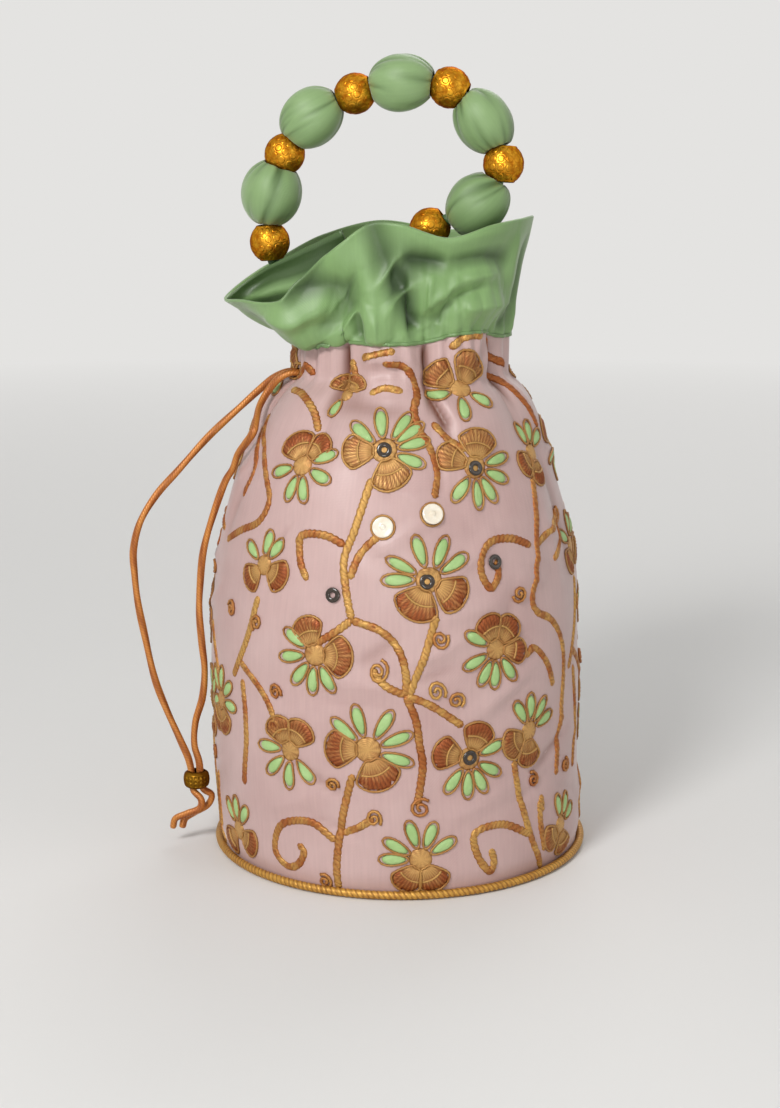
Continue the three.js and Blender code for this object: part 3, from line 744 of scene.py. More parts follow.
def liningCup():
    columns = lining["columns"]
    heights = np.interp(np.linspace(0, profileRun[-1], 40), profileRun, profileHeights)
    heights = np.clip(heights, lining["floor"], lining["top"])
    inset = mix(lining["bellyInset"], lining["neckInset"], smooth(heights, 120, 190))
    radius = np.interp(heights, profileHeights, profileRadii) - inset
    radius = np.minimum(radius, 69.5 + 3 * smooth(heights, 4, 12))
    angle = np.arange(columns) / columns * 2 * math.pi
    lean = -body["lean"] * smooth(heights, 9, 50) * (1 - smooth(heights, 150, 190))
    creases = ripple(np.degrees(angle)[None, :], heights[:, None], 11, 7)
    slack = lining["slack"] * creases * smooth(heights, 8, 40)[:, None] - 0.5
    wall = np.stack([
        lean[:, None] + (radius[:, None] + slack) * np.cos(angle), (radius[:, None] + slack) * np.sin(angle),
        np.repeat(heights[:, None], columns, axis=1),
    ], axis=-1)
    floorRings = np.array(lining["floorRings"])
    floor = np.stack([floorRings[:, None] * np.cos(angle), floorRings[:, None] * np.sin(angle),
                      np.full((len(floorRings), columns), lining["floor"])], axis=-1)
    outside = np.concatenate([floor, wall[1:]])
    inwards = outside.copy()
    inwards[4:, :, :2] -= lining["thickness"] * np.stack([np.cos(angle), np.sin(angle)], axis=-1)
    inwards[:5, :, 2] += lining["thickness"]
    heap = newHeap()
    grid = np.concatenate([outside, inwards[::-1]])
    # The whole lining is darkened a tenth of the way to the fold tone, as painted shade.
    addGrid(heap, grid, wrapColumns=True, caps=True, fold=0.1,
            places=(np.arange(columns + 1) * 4.6, np.arange(len(grid) + 1) * 5.6))
    piece = settle(heapPiece("liningCup", heap), liningCotton, "lining_cotton", "lining")


liningCup()

channelTurns = np.radians(np.arange(170, -151, -20))
channelRoute = (
    [(-39.3, -5.1, 191.5), (-35.9, -4.4, 191.7)]
    + [(34.4 * math.cos(a), 34.4 * math.sin(a), 194.5) for a in channelTurns]
    + [(-35.3, -8.2, 191.7), (-38.7, -8.8, 191.5)]
)
satinCord("channelCordRing", channelRoute, drawCordLook, "copper_cord", "channel_cord")
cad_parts["base_board"].data.materials.clear()
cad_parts["base_board"].data.materials.append(cardLook)
print("base, lining and channel cord done")


# Frill: a doubled satin ruffle, splayed low at the left. Rim points are shares of its reach and rise.
frill = {
    "thickness": 1.2, "columns": 400, "rows": 64, "reach": 68.0, "rise": 45.0, "gatherDepth": 0.6, "width": 50,
    "mmEachDegree": 0.9, "foldDepth": 1.15, "mapWidth": 400, "mapHeight": 52,
}
rimPoints = [
    (0.75, -0.06, 1), (0.65, 0.38, 0.91), (0.29, 0.62, 0.82), (-0.12, 0.65, 0.9), (-0.46, 0.56, 0.78),
    (-0.68, 0.41, 0.62), (-0.85, 0.21, 0.48), (-1, -0.06, 0.3), (-0.89, -0.35, 0.31), (-0.656, -0.566, 0.35),
    (-0.538, -0.566, 0.52), (-0.387, -0.574, 0.755), (-0.27, -0.588, 0.885), (-0.162, -0.61, 0.985),
    (0, -0.63, 0.975), (0.25, -0.6, 0.87), (0.49, -0.53, 0.97), (0.68, -0.32, 1),
]
# Folds of the frill, as angle round the mouth and share of its width in mm: from, to, width, lift
frillMarks = [
    (252, 54, 264, 36, 8.5, -3.2), (264, 36, 272, 25, 6.4, -3.6), (272, 25, 279, 8, 5.0, -4.0),
    (235, 50, 246, 34, 8.5, 2.2), (270, 38, 294, 40, 5.0, -3.2), (294, 40, 330, 34, 5.0, -2.8),
    (284, 49, 330, 46, 7.0, 1.8), (281, 14, 287, 34, 3.8, 2.0), (283, 18, 300, 30, 3.6, 2.2),
    (300, 30, 322, 29, 3.8, 2.4), (288, 10, 296, 21, 3.4, -1.9), (296, 21, 314, 25, 3.2, -1.9),
    (300, 15, 332, 16, 7.0, 4.0), (336, 2, 340, 16, 4.4, -2.4), (342, 12, 346, 44, 6.0, -2.4),
    (334, 22, 332, 46, 4.0, 1.6), (257, 26, 258, 4, 5.6, 3.8), (241, 32, 246, 18, 5.2, -2.4),
    (246, 18, 247, 2, 4.8, -3.0),
    (222, 51, 246, 30, 5.2, -3.8), (211, 43, 234, 32, 5.6, 3.2), (222, 36, 238, 22, 3.6, -1.6),
    (238, 22, 241, 4, 5.0, 2.0), (229, 20, 226, 0, 4.4, -1.6), (205, 14, 198, 40, 5.0, -2.0),
    (190, 6, 184, 40, 5.0, 1.6), (170, 6, 172, 44, 5.0, -2.2), (150, 6, 156, 44, 6.0, 2.2),
    (128, 0, 132, 46, 6.0, -3.0), (104, 6, 110, 44, 7.0, 2.6), (84, 0, 86, 44, 5.4, -3.2), (62, 6, 66, 44, 7.0, 2.4),
    (38, 0, 44, 44, 6.0, -3.0), (16, 6, 20, 44, 7.0, 2.2), (0, 0, 2, 40, 5.4, -2.2), (120, 26, 96, 32, 4.2, -2.0),
    (60, 24, 30, 30, 4.2, -2.0),
]
# Where the cloth hangs below its seam (-) or is held up (+): angle, reach, lift
frillHangs = [(228, 17, -9.0), (258, 8, -7.5), (247, 4.5, 3.0), (205, 14, -3.0), (60, 20, -3.0), (120, 22, -4.0)]


def frillBase(angle, share):
    rim = smoothLine(
        [(x * frill["reach"], y * frill["reach"], body["seam"] + z * frill["rise"]) for x, y, z in rimPoints],
        0.4, closed=True,
    )
    turn = np.unwrap(np.arctan2(rim[:, 1], rim[:, 0]))
    start = turn[0]
    at = np.mod(np.radians(angle) - start, 2 * math.pi) + start
    topRadius = np.interp(at, turn, np.hypot(rim[:, 0], rim[:, 1]))
    topHeight = np.interp(at, turn, rim[:, 2])
    footFold = bodyFold(angle + 90, np.full_like(angle, body["seam"]))
    footRadius = body["neck"] + footFold
    radius = mix(footRadius, topRadius, share ** 0.85)
    hang = sum(lift * np.exp(-(turnFrom(angle, middle) / reach) ** 2) for middle, reach, lift in frillHangs)
    hang = hang * np.sin(math.pi * share ** 0.8)
    foot = body["seam"] + 0.3 + seamRise(angle + 90)
    z = mix(foot, topHeight, share ** 1.15) + hang
    return np.stack([radius * np.cos(np.radians(angle)), radius * np.sin(np.radians(angle)), z], axis=-1)


def gridNormals(points):
    across = np.roll(points, -1, axis=1) - np.roll(points, 1, axis=1)
    along = np.gradient(points, axis=0)
    return unit(np.cross(across, along))


# At the left the inner layer of the ruffle stands free of the outer one and joins the front rim.
innerLeaf = [
    (-67.3, -6, 220.0), (-60.1, -8, 226.1), (-52.3, -10, 231.8), (-45.1, -14, 235.5), (-37.2, -20, 240.1),
    (-29.4, -27, 243.9), (-22.5, -33, 247.5),
]


def addInnerLeaf(heap):
    top = smoothLine(innerLeaf, 0.8)
    share = np.linspace(0, 1, len(top))[:, None]
    foot = np.hstack([mix(-52, -18, share), mix(-7, -30.5, smooth(share, 0, 0.85)), mix(215, 209.5, share)])
    down = np.linspace(0, 1, 16)[None, :, None]
    sheet = mix(top[:, None], foot[:, None], down)
    deep = down[..., 0]
    band = 3.4 * np.exp(-((deep - 0.42 - 0.1 * share) / 0.12) ** 2) - 2.6 * np.exp(-((deep - 0.16) / 0.13) ** 2)
    bow = band * smooth(share, 0, 0.25) + 0.6 * np.cos(share * 14 + 4 * deep) - 1.2 * np.sin(math.pi * deep)
    out = unit(np.cross(np.gradient(sheet, axis=0), np.gradient(sheet, axis=1)))
    out = out * np.sign(-out[..., 1:2] + 1e-9)
    sheet = sheet + out * bow[..., None]
    ring = np.concatenate([sheet + out * 0.4, sheet[:, ::-1] - out[:, ::-1] * 0.4], axis=1)
    # Painted shade: the leaf is darkened about half way to the fold tone, more in the hollow above its band and less
    # on the band.
    shade = np.clip(0.5 - band / 4, 0.05, 0.8)
    addGrid(heap, ring, wrapColumns=True, caps=True, fold=np.hstack([shade, shade[:, ::-1]]),
            places=(np.arange(33) * 1.0, np.arange(len(ring) + 1) * 0.8))


# The rolled edge where the ruffle is sewn to the neck.
def addSeamRoll(heap, angles):
    foot = frillBase(angles[None], np.zeros((1, len(angles))))[0]
    out = unit(foot * [1, 1, 0])
    around = np.arange(10) / 10 * 2 * math.pi
    swell = 0.75 * (1 + 0.12 * np.cos(1.1 * np.arange(len(angles))))[:, None, None]
    ring = foot[:, None] + out[:, None] * 0.25 + swell * (
        out[:, None] * np.cos(around)[None, :, None] + np.array([0, 0, 1.0]) * np.sin(around)[None, :, None])
    # It is darkened a quarter of the way to the fold tone, as painted shade at the seam.
    addGrid(heap, ring, wrapColumns=True, wrapRows=True, fold=0.25,
            places=(np.arange(11) * 0.5, np.arange(len(angles) + 1) * 0.63))


def frillCloth():
    angles = np.arange(frill["columns"]) / frill["columns"] * 360
    shares = np.linspace(0, 1, frill["rows"])
    angle, share = np.meshgrid(angles, shares)
    base = frillBase(angle, share)
    turn = np.radians(angle)
    pleats = frill["gatherDepth"] * smooth(1 - share, 0.55, 0.95) * np.cos(30 * turn + 3.5 * np.sin(4 * turn + 1))
    pleats = pleats * mix(0.25, 1, smooth(share, 0, 0.1))
    up = share * frill["width"]
    folds = frill["foldDepth"] * strokes(angle, up, frillMarks, frill["mmEachDegree"], crease=1.45)
    slack = 0.45 * ripple(angle, up, 21, 8) * smooth(share, 0, 0.3)
    lift = pleats + folds * mix(0.3, 1, smooth(share, 0, 0.16)) + slack
    points = base + gridNormals(base) * lift[..., None]
    normals = gridNormals(points)
    along = shares * frill["mapHeight"]
    across = np.arange(frill["columns"] + 1) / frill["columns"] * frill["mapWidth"]
    # Painted shade: the frill is darkened in its valleys, the deeper the darker.
    fold = np.clip(-lift - 0.1, 0, 3.4) / 3.6
    heap = newHeap()
    rows = list(range(frill["rows"]))
    clothShell(heap, points, normals, frill["thickness"], rows, across, along, fold=fold)
    addSeamRoll(heap, angles)
    addInnerLeaf(heap)
    piece = settle(heapPiece("frillCloth", heap), greenSatin, "green_satin", "frill")
    return piece


frillCloth()
print("frill draped")


# Handle: a ruched satin tube through gold beads and cloth-covered beads
handle = {
    "pitch": 18.2, "core": 2.35, "goldRadius": 8.0, "bore": 3.3, "collar": 4.6, "collarHeight": 6.9,
    "coveredRadius": 12.3, "coveredHalf": 13.0, "coveredColumns": 120, "coveredRows": 72,
    "coveredWidth": (0.97, 0.9, 0.91, 0.87, 0.93), "coveredBore": 2.75, "hug": 0.45, "sewnRadius": 29.1,
}
beadCentres = [
    (-2.78, 0.11, 1.92), (-2.73, 0.11, 2.95), (-2.44, 0.06, 3.76), (-1.86, 0, 4.51), (-0.95, -0.11, 5.01),
    (0.03, -0.28, 5.24), (1.02, -0.44, 5.13), (1.73, -0.55, 4.45), (2.14, -0.66, 3.58), (1.62, -0.66, 2.73),
    (0.62, -0.5, 2.25),
]
leftRise = [(-1.98, 0.16, 0.5), (-2.53, 0.14, 1.1)]
rightCurl = [(0.16, -0.5, 1.76), (0.13, -0.74, 1.15), (0.44, -1.1, 0.5)]


def onHandle(points):
    return [(x * handle["pitch"], y * handle["pitch"], body["seam"] + z * handle["pitch"]) for x, y, z in points]


def sewnEnd(degrees, aboveSeam):
    turn, out = math.radians(degrees), handle["sewnRadius"]
    return (out * math.cos(turn), out * math.sin(turn), body["seam"] + aboveSeam)


handleRoute = (
    [sewnEnd(174, -7), sewnEnd(174, 1)] + onHandle(leftRise) + onHandle(beadCentres) + onHandle(rightCurl)
    + [sewnEnd(-63, 0), sewnEnd(-63, -7)]
)
handleLine = smoothLine(handleRoute, 0.7)
beadPlaces = np.array(onHandle(beadCentres))


def handleTube():
    run = lineRun(handleLine)[:, None]
    around = np.arange(20) / 20 * 2 * math.pi
    ruche = 0.16 * np.sin(run * 2.1 + 1.6 * np.sin(2 * around)[None, :]) + 0.1 * np.sin(5 * around + run * 0.4)
    heap = newHeap()
    # Painted shade in the hollows of the ruching.
    addTube(heap, handleLine, handle["core"] + ruche, 20, fold=smooth(-ruche, 0, 0.25) * 0.6)
    return settle(heapPiece("handleTubeSatin", heap), shadedTubeSatin, "green_tube", "handle_tube")


handleTube()


# A bead's wall, drawn as a closed outline and spun round the bore. The faces that the test picks end up selected.
def spunBead(outline, steps, isPicked):
    bpy.ops.object.select_all(action="DESELECT")
    bpy.ops.mesh.primitive_circle_add(vertices=len(outline), radius=1, fill_type="NOTHING")
    bead = bpy.context.object
    for vertex, (out, height) in zip(bead.data.vertices, outline):
        vertex.co = (out * mm, 0, height * mm)
    bpy.ops.object.mode_set(mode="EDIT")
    bpy.ops.mesh.select_all(action="SELECT")
    bpy.ops.mesh.spin(steps=steps, angle=2 * math.pi, center=(0, 0, 0), axis=(0, 0, 1))
    bpy.ops.mesh.select_all(action="SELECT")
    bpy.ops.mesh.remove_doubles(threshold=0.00002)
    bpy.ops.mesh.normals_make_consistent(inside=False)
    bpy.ops.mesh.select_mode(type="FACE")
    bpy.ops.mesh.select_all(action="DESELECT")
    bpy.ops.object.mode_set(mode="OBJECT")
    for face in bead.data.polygons:
        face.select = isPicked(math.hypot(face.center.x, face.center.y) / mm, abs(face.center.z / mm))
    return bead


# Sinks or raises the selected faces one by one, as (inset, depth) in turn, and rounds the bead off.
def dimple(bead, insets):
    bpy.ops.object.mode_set(mode="EDIT")
    for thickness, depth in insets:
        bpy.ops.mesh.inset(thickness=thickness * mm, depth=depth * mm, use_individual=True)
    bpy.ops.object.mode_set(mode="OBJECT")
    applied(bead, "SUBSURF", levels=2, render_levels=2)
    bpy.ops.object.shade_smooth()


# One gold bead, dimpled all over
def goldBeadModel():
    radius, bore, collar, top = (handle[key] for key in ("goldRadius", "bore", "collar", "collarHeight"))
    curve = [(radius * math.cos(math.radians(degrees)), radius * math.sin(math.radians(degrees)))
             for degrees in (-52, -26, 0, 26, 52)]
    outline = [(bore, -top), (collar, -top), *curve, (collar, top), (bore, top)]
    bead = spunBead(outline, 14, lambda out, height: out > 5.6 and height < 6.2)
    dimple(bead, [(0.2, -0.12), (0.25, 0.22), (0.4, 0.08)])
    return bead


def markRecess(bead, high, low):
    points = np.zeros(len(bead.data.vertices) * 3)
    bead.data.vertices.foreach_get("co", points)
    points = points.reshape(-1, 3) / mm
    out = np.linalg.norm(points, axis=1)
    recess = 1 - smooth(out, low, high)
    mark = bead.data.attributes.new("recess", "FLOAT", "POINT")
    mark.data.foreach_set("value", recess.astype(np.float32))


# Puts a copy of a model, made round the z axis, at a place and along a direction.
def placedCopy(model, name, place, ahead):
    bead = model.copy()
    bead.data = model.data.copy()
    bead.name = name
    bead.data.name = name
    scene.collection.objects.link(bead)
    bead.rotation_mode = "QUATERNION"
    bead.rotation_quaternion = Vector((0, 0, 1)).rotation_difference(Vector(ahead))
    bead.location = [v * mm for v in place]
    pick(bead)
    bpy.ops.object.transform_apply(location=True, rotation=True, scale=True)
    bead.rotation_mode = "XYZ"
    return bead


def aheadAt(place):
    nearest = int(np.argmin(np.linalg.norm(handleLine - place, axis=1)))
    return unit(handleLine[min(nearest + 2, len(handleLine) - 1)] - handleLine[nearest - 2])


goldModel = goldBeadModel()
markRecess(goldModel, 7.9, 7.2)
for number, place in enumerate(beadPlaces[::2], 1):
    bead = placedCopy(goldModel, f"goldBead{number}", place, aheadAt(place))
    settle(bead, antiqueGold, "antique_gold", f"gold_bead_{number}")
bpy.data.objects.remove(goldModel)
print("gold beads strung")


# A cloth-covered bead: satin pulled over an egg and pleated down to both ends of its bore.
def coveredBead(number, place, neighbours, seed):
    ahead = aheadAt(place)
    side = unit(np.cross(ahead, [0.13, -0.95, 0.3]))
    up = np.cross(ahead, side)
    columns, rows = handle["coveredColumns"], handle["coveredRows"]
    random = np.random.default_rng(seed)
    around = np.arange(columns) / columns * 2 * math.pi
    openEnd = math.asin(0.955)
    polar = np.linspace(-openEnd, openEnd, rows)[:, None]
    pleatLines = np.zeros((rows, columns))
    for _ in range(26):
        middle = random.uniform(0, 2 * math.pi)
        end = random.choice([-1, 1])
        reach = random.uniform(-0.5, 0.55)
        width = random.uniform(0.07, 0.17)
        away = np.angle(np.exp(1j * (around[None, :] - middle - 0.25 * polar)))
        fade = smooth(end * polar / openEnd, reach - 0.25, 0.95)
        pleatLines -= fade * np.exp(-np.abs(away / width) ** 1.5) * random.uniform(0.5, 1.2)
    fine = 0.34 * np.cos(22 * around + 3 * np.sin(2 * around)) * smooth(np.abs(polar) / openEnd, 0.62, 1)
    slack = 0.6 * ripple(np.degrees(around)[None, :], polar * 14, seed, 4)
    radius = 1 + (pleatLines * 0.95 + fine + slack) / handle["coveredRadius"]
    ring = handle["coveredRadius"] * handle["coveredWidth"][number - 1] * np.cos(polar) ** 0.94 * radius
    local = (
        side * (ring * np.cos(around))[..., None] + up * (ring * np.sin(around))[..., None]
        + ahead * (handle["coveredHalf"] * np.sin(polar) * np.ones_like(ring))[..., None]
    )
    outer = place + local
    for neighbour in neighbours:  # the ends hug the gold beads
        away = outer - neighbour
        gap = np.linalg.norm(away, axis=-1, keepdims=True)
        pushed = neighbour + away / np.maximum(gap, 1e-6) * (handle["goldRadius"] + handle["hug"])
        outer = np.where(gap < handle["goldRadius"] + handle["hug"], pushed, outer)
    endRings = []
    for end in (0, -1):
        spine = place + ahead * np.dot(outer[end] - place, ahead).mean()
        endRings.append(spine + (outer[end] - spine) * 0.72 - ahead * (1 if end else -1) * 0.6)
    bore = [
        place + ahead * handle["coveredHalf"] * reach + (
            side[None, :] * np.cos(around)[:, None] + up[None, :] * np.sin(around)[:, None]) * handle["coveredBore"]
        for reach in (0.6, 0.2, -0.2, -0.6)
    ]
    grid = np.concatenate([outer, endRings[1][None], np.array(bore), endRings[0][None]])
    # Painted shade: darker in the pleats and towards both ends, and dark on the end rings and in the bore.
    fold = np.clip(-(pleatLines * 0.8 + fine * 0.6), 0, 1) * 0.8 + 0.3 * smooth(np.abs(polar) / openEnd, 0.8, 1)
    fold = np.concatenate([fold, np.full((6, columns), 0.8)])
    heap = newHeap()
    addGrid(heap, grid, wrapColumns=True, wrapRows=True, fold=fold,
            places=(np.arange(columns + 1) * 0.62, np.arange(len(grid) + 1) * 0.45))
    piece = settle(heapPiece(f"coveredBead{number}", heap), beadSatin, "green_satin", f"covered_bead_{number}")


for number, index in enumerate(range(1, 11, 2), 1):
    coveredBead(number, beadPlaces[index], (beadPlaces[index - 1], beadPlaces[index + 1]), 30 + number)
print("covered beads strung")


# Stopper bead on the drawcord
def stopperBead():
    outline = [(2.0, -3.5), (3.6, -3.6), (4.9, -2.6), (5.3, -0.8), (5.3, 0.8), (4.9, 2.6), (3.6, 3.6), (2.0, 3.5)]
    bead = spunBead(outline, 18, lambda out, height: out > 4.6)
    dimple(bead, [(0.22, 0), (0.2, -0.2)])
    markRecess(bead, 5.2, 4.6)
    placed = placedCopy(bead, "stopperBead", (-82, -12, 27.4), (0, 0, 1))
    bpy.data.objects.remove(bead)
    return settle(placed, antiqueBrass, "antique_brass", "stopper_bead")


stopper = stopperBead()


# Sequins and ring beads sewn on the front: four of the ring beads at flower centres, the rest on open cloth
sewnLift = 0.2


def sequinModel():
    bpy.ops.object.select_all(action="DESELECT")
    bpy.ops.mesh.primitive_circle_add(vertices=24, radius=3.9 * mm, fill_type="NGON")
    sequin = bpy.context.object
    bpy.ops.object.mode_set(mode="EDIT")
    bpy.ops.mesh.select_all(action="SELECT")
    bpy.ops.mesh.extrude_region_move(TRANSFORM_OT_translate={"value": (0, 0, 0.9 * mm)})
    bpy.ops.mesh.inset(thickness=0.5 * mm, depth=0.25 * mm)
    bpy.ops.mesh.inset(thickness=1.1 * mm, depth=-0.3 * mm)
    bpy.ops.mesh.inset(thickness=1.1 * mm, depth=0.1 * mm)
    bpy.ops.mesh.inset(thickness=0.3 * mm, depth=0.35 * mm)
    bpy.ops.mesh.inset(thickness=0.4 * mm, depth=0.1 * mm)
    bpy.ops.mesh.select_all(action="SELECT")
    bpy.ops.mesh.normals_make_consistent(inside=False)
    bpy.ops.object.mode_set(mode="OBJECT")
    applied(sequin, "BEVEL", width=0.12 * mm, segments=2, limit_method="ANGLE")
    bpy.ops.object.shade_smooth()
    return sequin


def ringBeadModel():
    bpy.ops.object.select_all(action="DESELECT")
    bpy.ops.mesh.primitive_torus_add(major_radius=1.95 * mm, minor_radius=0.92 * mm, major_segments=28,
                                     minor_segments=12, location=(0, 0, 0.85 * mm))
    ring = bpy.context.object
    bpy.ops.object.transform_apply(location=True)
    for vertex in ring.data.vertices:
        vertex.select = vertex.co.z < 0.35 * mm
    bpy.ops.object.mode_set(mode="EDIT")
    bpy.ops.transform.resize(value=(1, 1, 0.5), center_override=(0, 0, 0.3 * mm))
    bpy.ops.object.mode_set(mode="OBJECT")
    bpy.ops.object.shade_smooth()
    return ring


def sewOn(model, name, look, slotName, node, azimuth, z):
    azimuth, z = np.array(azimuth * 1.0), np.array(z * 1.0)
    normal = bodyNormal(azimuth, z)
    piece = placedCopy(model, name, bodyAt(azimuth, z) + normal * sewnLift, normal)
    return settle(piece, look, slotName, node)


sequinPlaces = [(-4, 141.9), (12, 146.3)]
ringBeadPlaces = [(-5.1, 169.1), (9.5, 122.2), (-18.9, 116.7), (28.9, 161.5), (32, 127.3), (22.1, 54.5)]
sequinShape, ringShape = sequinModel(), ringBeadModel()
for number, (azimuth, z) in enumerate(sequinPlaces, 1):
    sewOn(sequinShape, f"pearlSequin{number}", pearlLook, "pearl", f"pearl_sequin_{number}", azimuth, z)
for number, (azimuth, z) in enumerate(ringBeadPlaces, 1):
    sewOn(ringShape, f"ringBead{number}", darkGlaze, "dark_glaze", f"ring_bead_{number}", azimuth, z)
bpy.data.objects.remove(sequinShape)
bpy.data.objects.remove(ringShape)
print("sequins and ring beads sewn on")


# Embroidery. Places are azimuth from the front and height; shapes are drawn flat in mm and laid on the cloth.
stitch = {
    "vineStep": 0.44, "vineHalf": 1.3, "vineScallop": 0.36, "vinePitch": 2.1, "vineHeight": 0.8,
    "outlineStep": 0.9, "sunk": 0.45,
}


def layFlat(azimuth, z, x, y):
    run = np.interp(z, profileHeights, profileRun) + y
    height = np.interp(run, profileRun, profileHeights)
    return azimuth + np.degrees(x / np.interp(height, profileHeights, profileRadii)), height


def addVine(heap, route, copper):
    route = np.asarray(route, float) * [1.2, 1.0]
    flat = smoothLine(route, 0.5) / [1.2, 1.0]
    line = evenLine(np.hstack([bodyAt(flat[:, 0], flat[:, 1]), flat]), stitch["vineStep"])
    surface, azimuth, z = line[:, :3], line[:, 3], line[:, 4]
    normal = bodyNormal(azimuth, z)
    side = unit(np.cross(unit(np.gradient(surface, axis=0)), normal))
    run = lineRun(surface)
    ends = smooth(run, 0, 1.2) * smooth(run[-1] - run, 0, 1.2)
    across = np.array([-1, -0.62, -0.2, 0.2, 0.62, 1, 0.8, -0.8])
    hand = run + 0.55 * np.sin(run * 1.1 + azimuth) + 0.4 * np.sin(run * 0.37)
    beat = np.abs(np.sin(math.pi * (hand[:, None] + 1.15 * across) / stitch["vinePitch"])) ** 0.7
    edge = np.abs(np.sin(math.pi * (hand[:, None] + 1.15 * np.sign(across)) / stitch["vinePitch"]))
    half = (stitch["vineHalf"] + stitch["vineScallop"] * edge) * mix(0.45, 1, ends)[:, None]
    dome = np.sqrt(np.clip(1 - across ** 2, 0, 1)) * (1 - 0.15 * np.exp(-(across / 0.3) ** 2))
    height = stitch["vineHeight"] * dome * (0.5 + 0.5 * beat) * mix(0.35, 1, ends)[:, None]
    height[:, [0, 5]] = 0.05
    height[:, [6, 7]] = -stitch["sunk"]
    grid = surface[:, None] + side[:, None] * (half * across)[..., None] + normal[:, None] * height[..., None]
    # Painted shade between the stitches.
    gap = np.clip(0.75 - 1.1 * beat, 0, 0.75)
    wide = np.arange(9) * 0.6
    addGrid(heap, grid, wrapColumns=True, caps=True, places=(wide, np.append(run, run[-1])),
            tone=copper + 0.3 * np.sin(run / 4 + azimuth)[:, None] + 0.15 * np.sin(run * 3.1)[:, None] + 0 * across,
            gap=gap)


# A thin thread laid round or along a flat line.
def addThread(heap, azimuth, z, flat, copper, radius, closed=True, lift=0.3):
    flat = smoothLine(flat, stitch["outlineStep"], closed=closed)
    if closed:
        flat = flat[:-1]
    lay, height = layFlat(azimuth, z, flat[:, 0], flat[:, 1])
    normal = bodyNormal(lay, height)
    line = bodyAt(lay, height) + normal * lift
    ahead = np.roll(line, -1, axis=0) - np.roll(line, 1, axis=0) if closed else np.gradient(line, axis=0)
    side = unit(np.cross(unit(ahead), normal))
    around = np.radians([0, 60, 120, 180, 240, 300])
    bead = radius * (1 + 0.16 * np.cos(np.arange(len(line)) * math.pi))
    grid = line[:, None] + (
        side[:, None] * np.cos(around)[None, :, None] + normal[:, None] * np.sin(around)[None, :, None]
    ) * bead[:, None, None]
    run = np.arange(len(line) + 1) * stitch["outlineStep"]
    # Painted shade on the underside of the thread, next to the cloth.
    addGrid(heap, grid, wrapColumns=True, wrapRows=closed, caps=not closed, places=(np.arange(7) * radius, run),
            tone=copper, gap=np.where(np.sin(around) < 0.2, 0.4, 0.0))


# A padded patch of side-by-side stitches. Rings run from the rim (0) to the middle (1).
def addPatch(heap, azimuth, z, rim, centre, height, streaks, copper, gapShadeAmount):
    rim, centre = np.asarray(rim, float), np.asarray(centre, float)
    count = len(rim)
    shares = np.array([0.0, 0.16, 0.42, 0.7, 0.97])
    rise = height * np.array([0.0, 0.62, 0.92, 1.0, 1.0])
    streak = np.cos(np.arange(count) * math.pi) if streaks else np.zeros(count)
    flat = mix(rim[None], centre[None, None], shares[:, None, None])
    lay, up = layFlat(azimuth, z, flat[..., 0], flat[..., 1])
    normal = bodyNormal(lay, up)
    lift = rise[:, None] * (1 + 0.16 * streak[None, :] * (1 - shares[:, None]))
    top = bodyAt(lay, up) + normal * lift[..., None]
    skirt = bodyAt(lay[0], up[0]) - normal[0] * stitch["sunk"]
    grid = np.concatenate([skirt[None], top])
    # Painted shade: on the sunk skirt and the outer rim, and on every other streak between stitches.
    gap = np.concatenate([[np.full(count, 0.5)], np.clip(-streak[None, :] * gapShadeAmount * (1 - shares[:, None]), 0, 1)])
    gap[1] += 0.15
    random = np.random.default_rng(int(abs(azimuth) * 7 + z * 3 + count))
    drift = copper + (random.uniform(-0.35, 0.3, count) if streaks else np.zeros(count))
    drift = drift[None, :] - (0.35 if streaks else 0.0) * shares[:, None]
    drift = np.concatenate([drift[:1], drift])
    wide = np.arange(count + 1) * 0.5
    addGrid(heap, grid, wrapColumns=True, caps=True, places=(wide, np.arange(7) * 1.2), tone=drift, gap=gap)


# A fan of radial stitches: gold near the flower's centre, copper towards its rim.
def addLobe(heap, azimuth, z, inner, outer, direction, span, copper):
    count = 2 * int(span / 6.4) + 1
    turn = np.linspace(-1, 1, count)
    out = np.array([0.0, 0.06, 0.24, 0.46, 0.54, 0.76, 0.93, 1.0])
    rise = np.array([0.0, 0.45, 0.6, 0.5, 0.9, 1.0, 0.7, 0.0])
    streak = np.cos(np.arange(count) * math.pi)
    random = np.random.default_rng(int(abs(azimuth) * 7 + z * 3 + abs(direction)))
    reach = outer * (1 - 0.17 * np.abs(turn) ** 2.4) * (1 + 0.025 * random.normal(size=count))
    radius = mix(inner, reach[:, None], out)
    angle = np.radians(direction + turn * span / 2)[:, None] * np.ones(8)
    lay, up = layFlat(azimuth, z, radius * np.cos(angle), radius * np.sin(angle))
    normal = bodyNormal(lay, up)
    swell = (1 - 0.6 * np.abs(turn) ** 5)[:, None] * rise * (1 + 0.22 * streak[:, None])
    top = bodyAt(lay, up) + normal * swell[..., None]
    under = (top - normal * (swell + stitch["sunk"])[..., None])[:, [7, 0]]
    # Painted shade on every other stitch, in the groove between the inner and outer rows, and on the sunk underside.
    gap = np.clip(-0.6 * streak[:, None] * rise, 0, 1) + np.where(np.abs(out - 0.46) < 0.02, 0.3, 0)
    gap = np.hstack([gap, np.full((count, 2), 0.5)])
    drift = copper * mix(0.1, 1.1, smooth(out, 0.4, 0.62))[None] + random.uniform(-0.25, 0.25, (count, 8))
    drift = np.hstack([drift, drift[:, :2]])
    addGrid(heap, np.concatenate([top, under], axis=1), wrapColumns=True, caps=True,
            places=(np.arange(11) * 1.4, np.arange(count + 1) * 0.55), tone=drift, gap=gap)


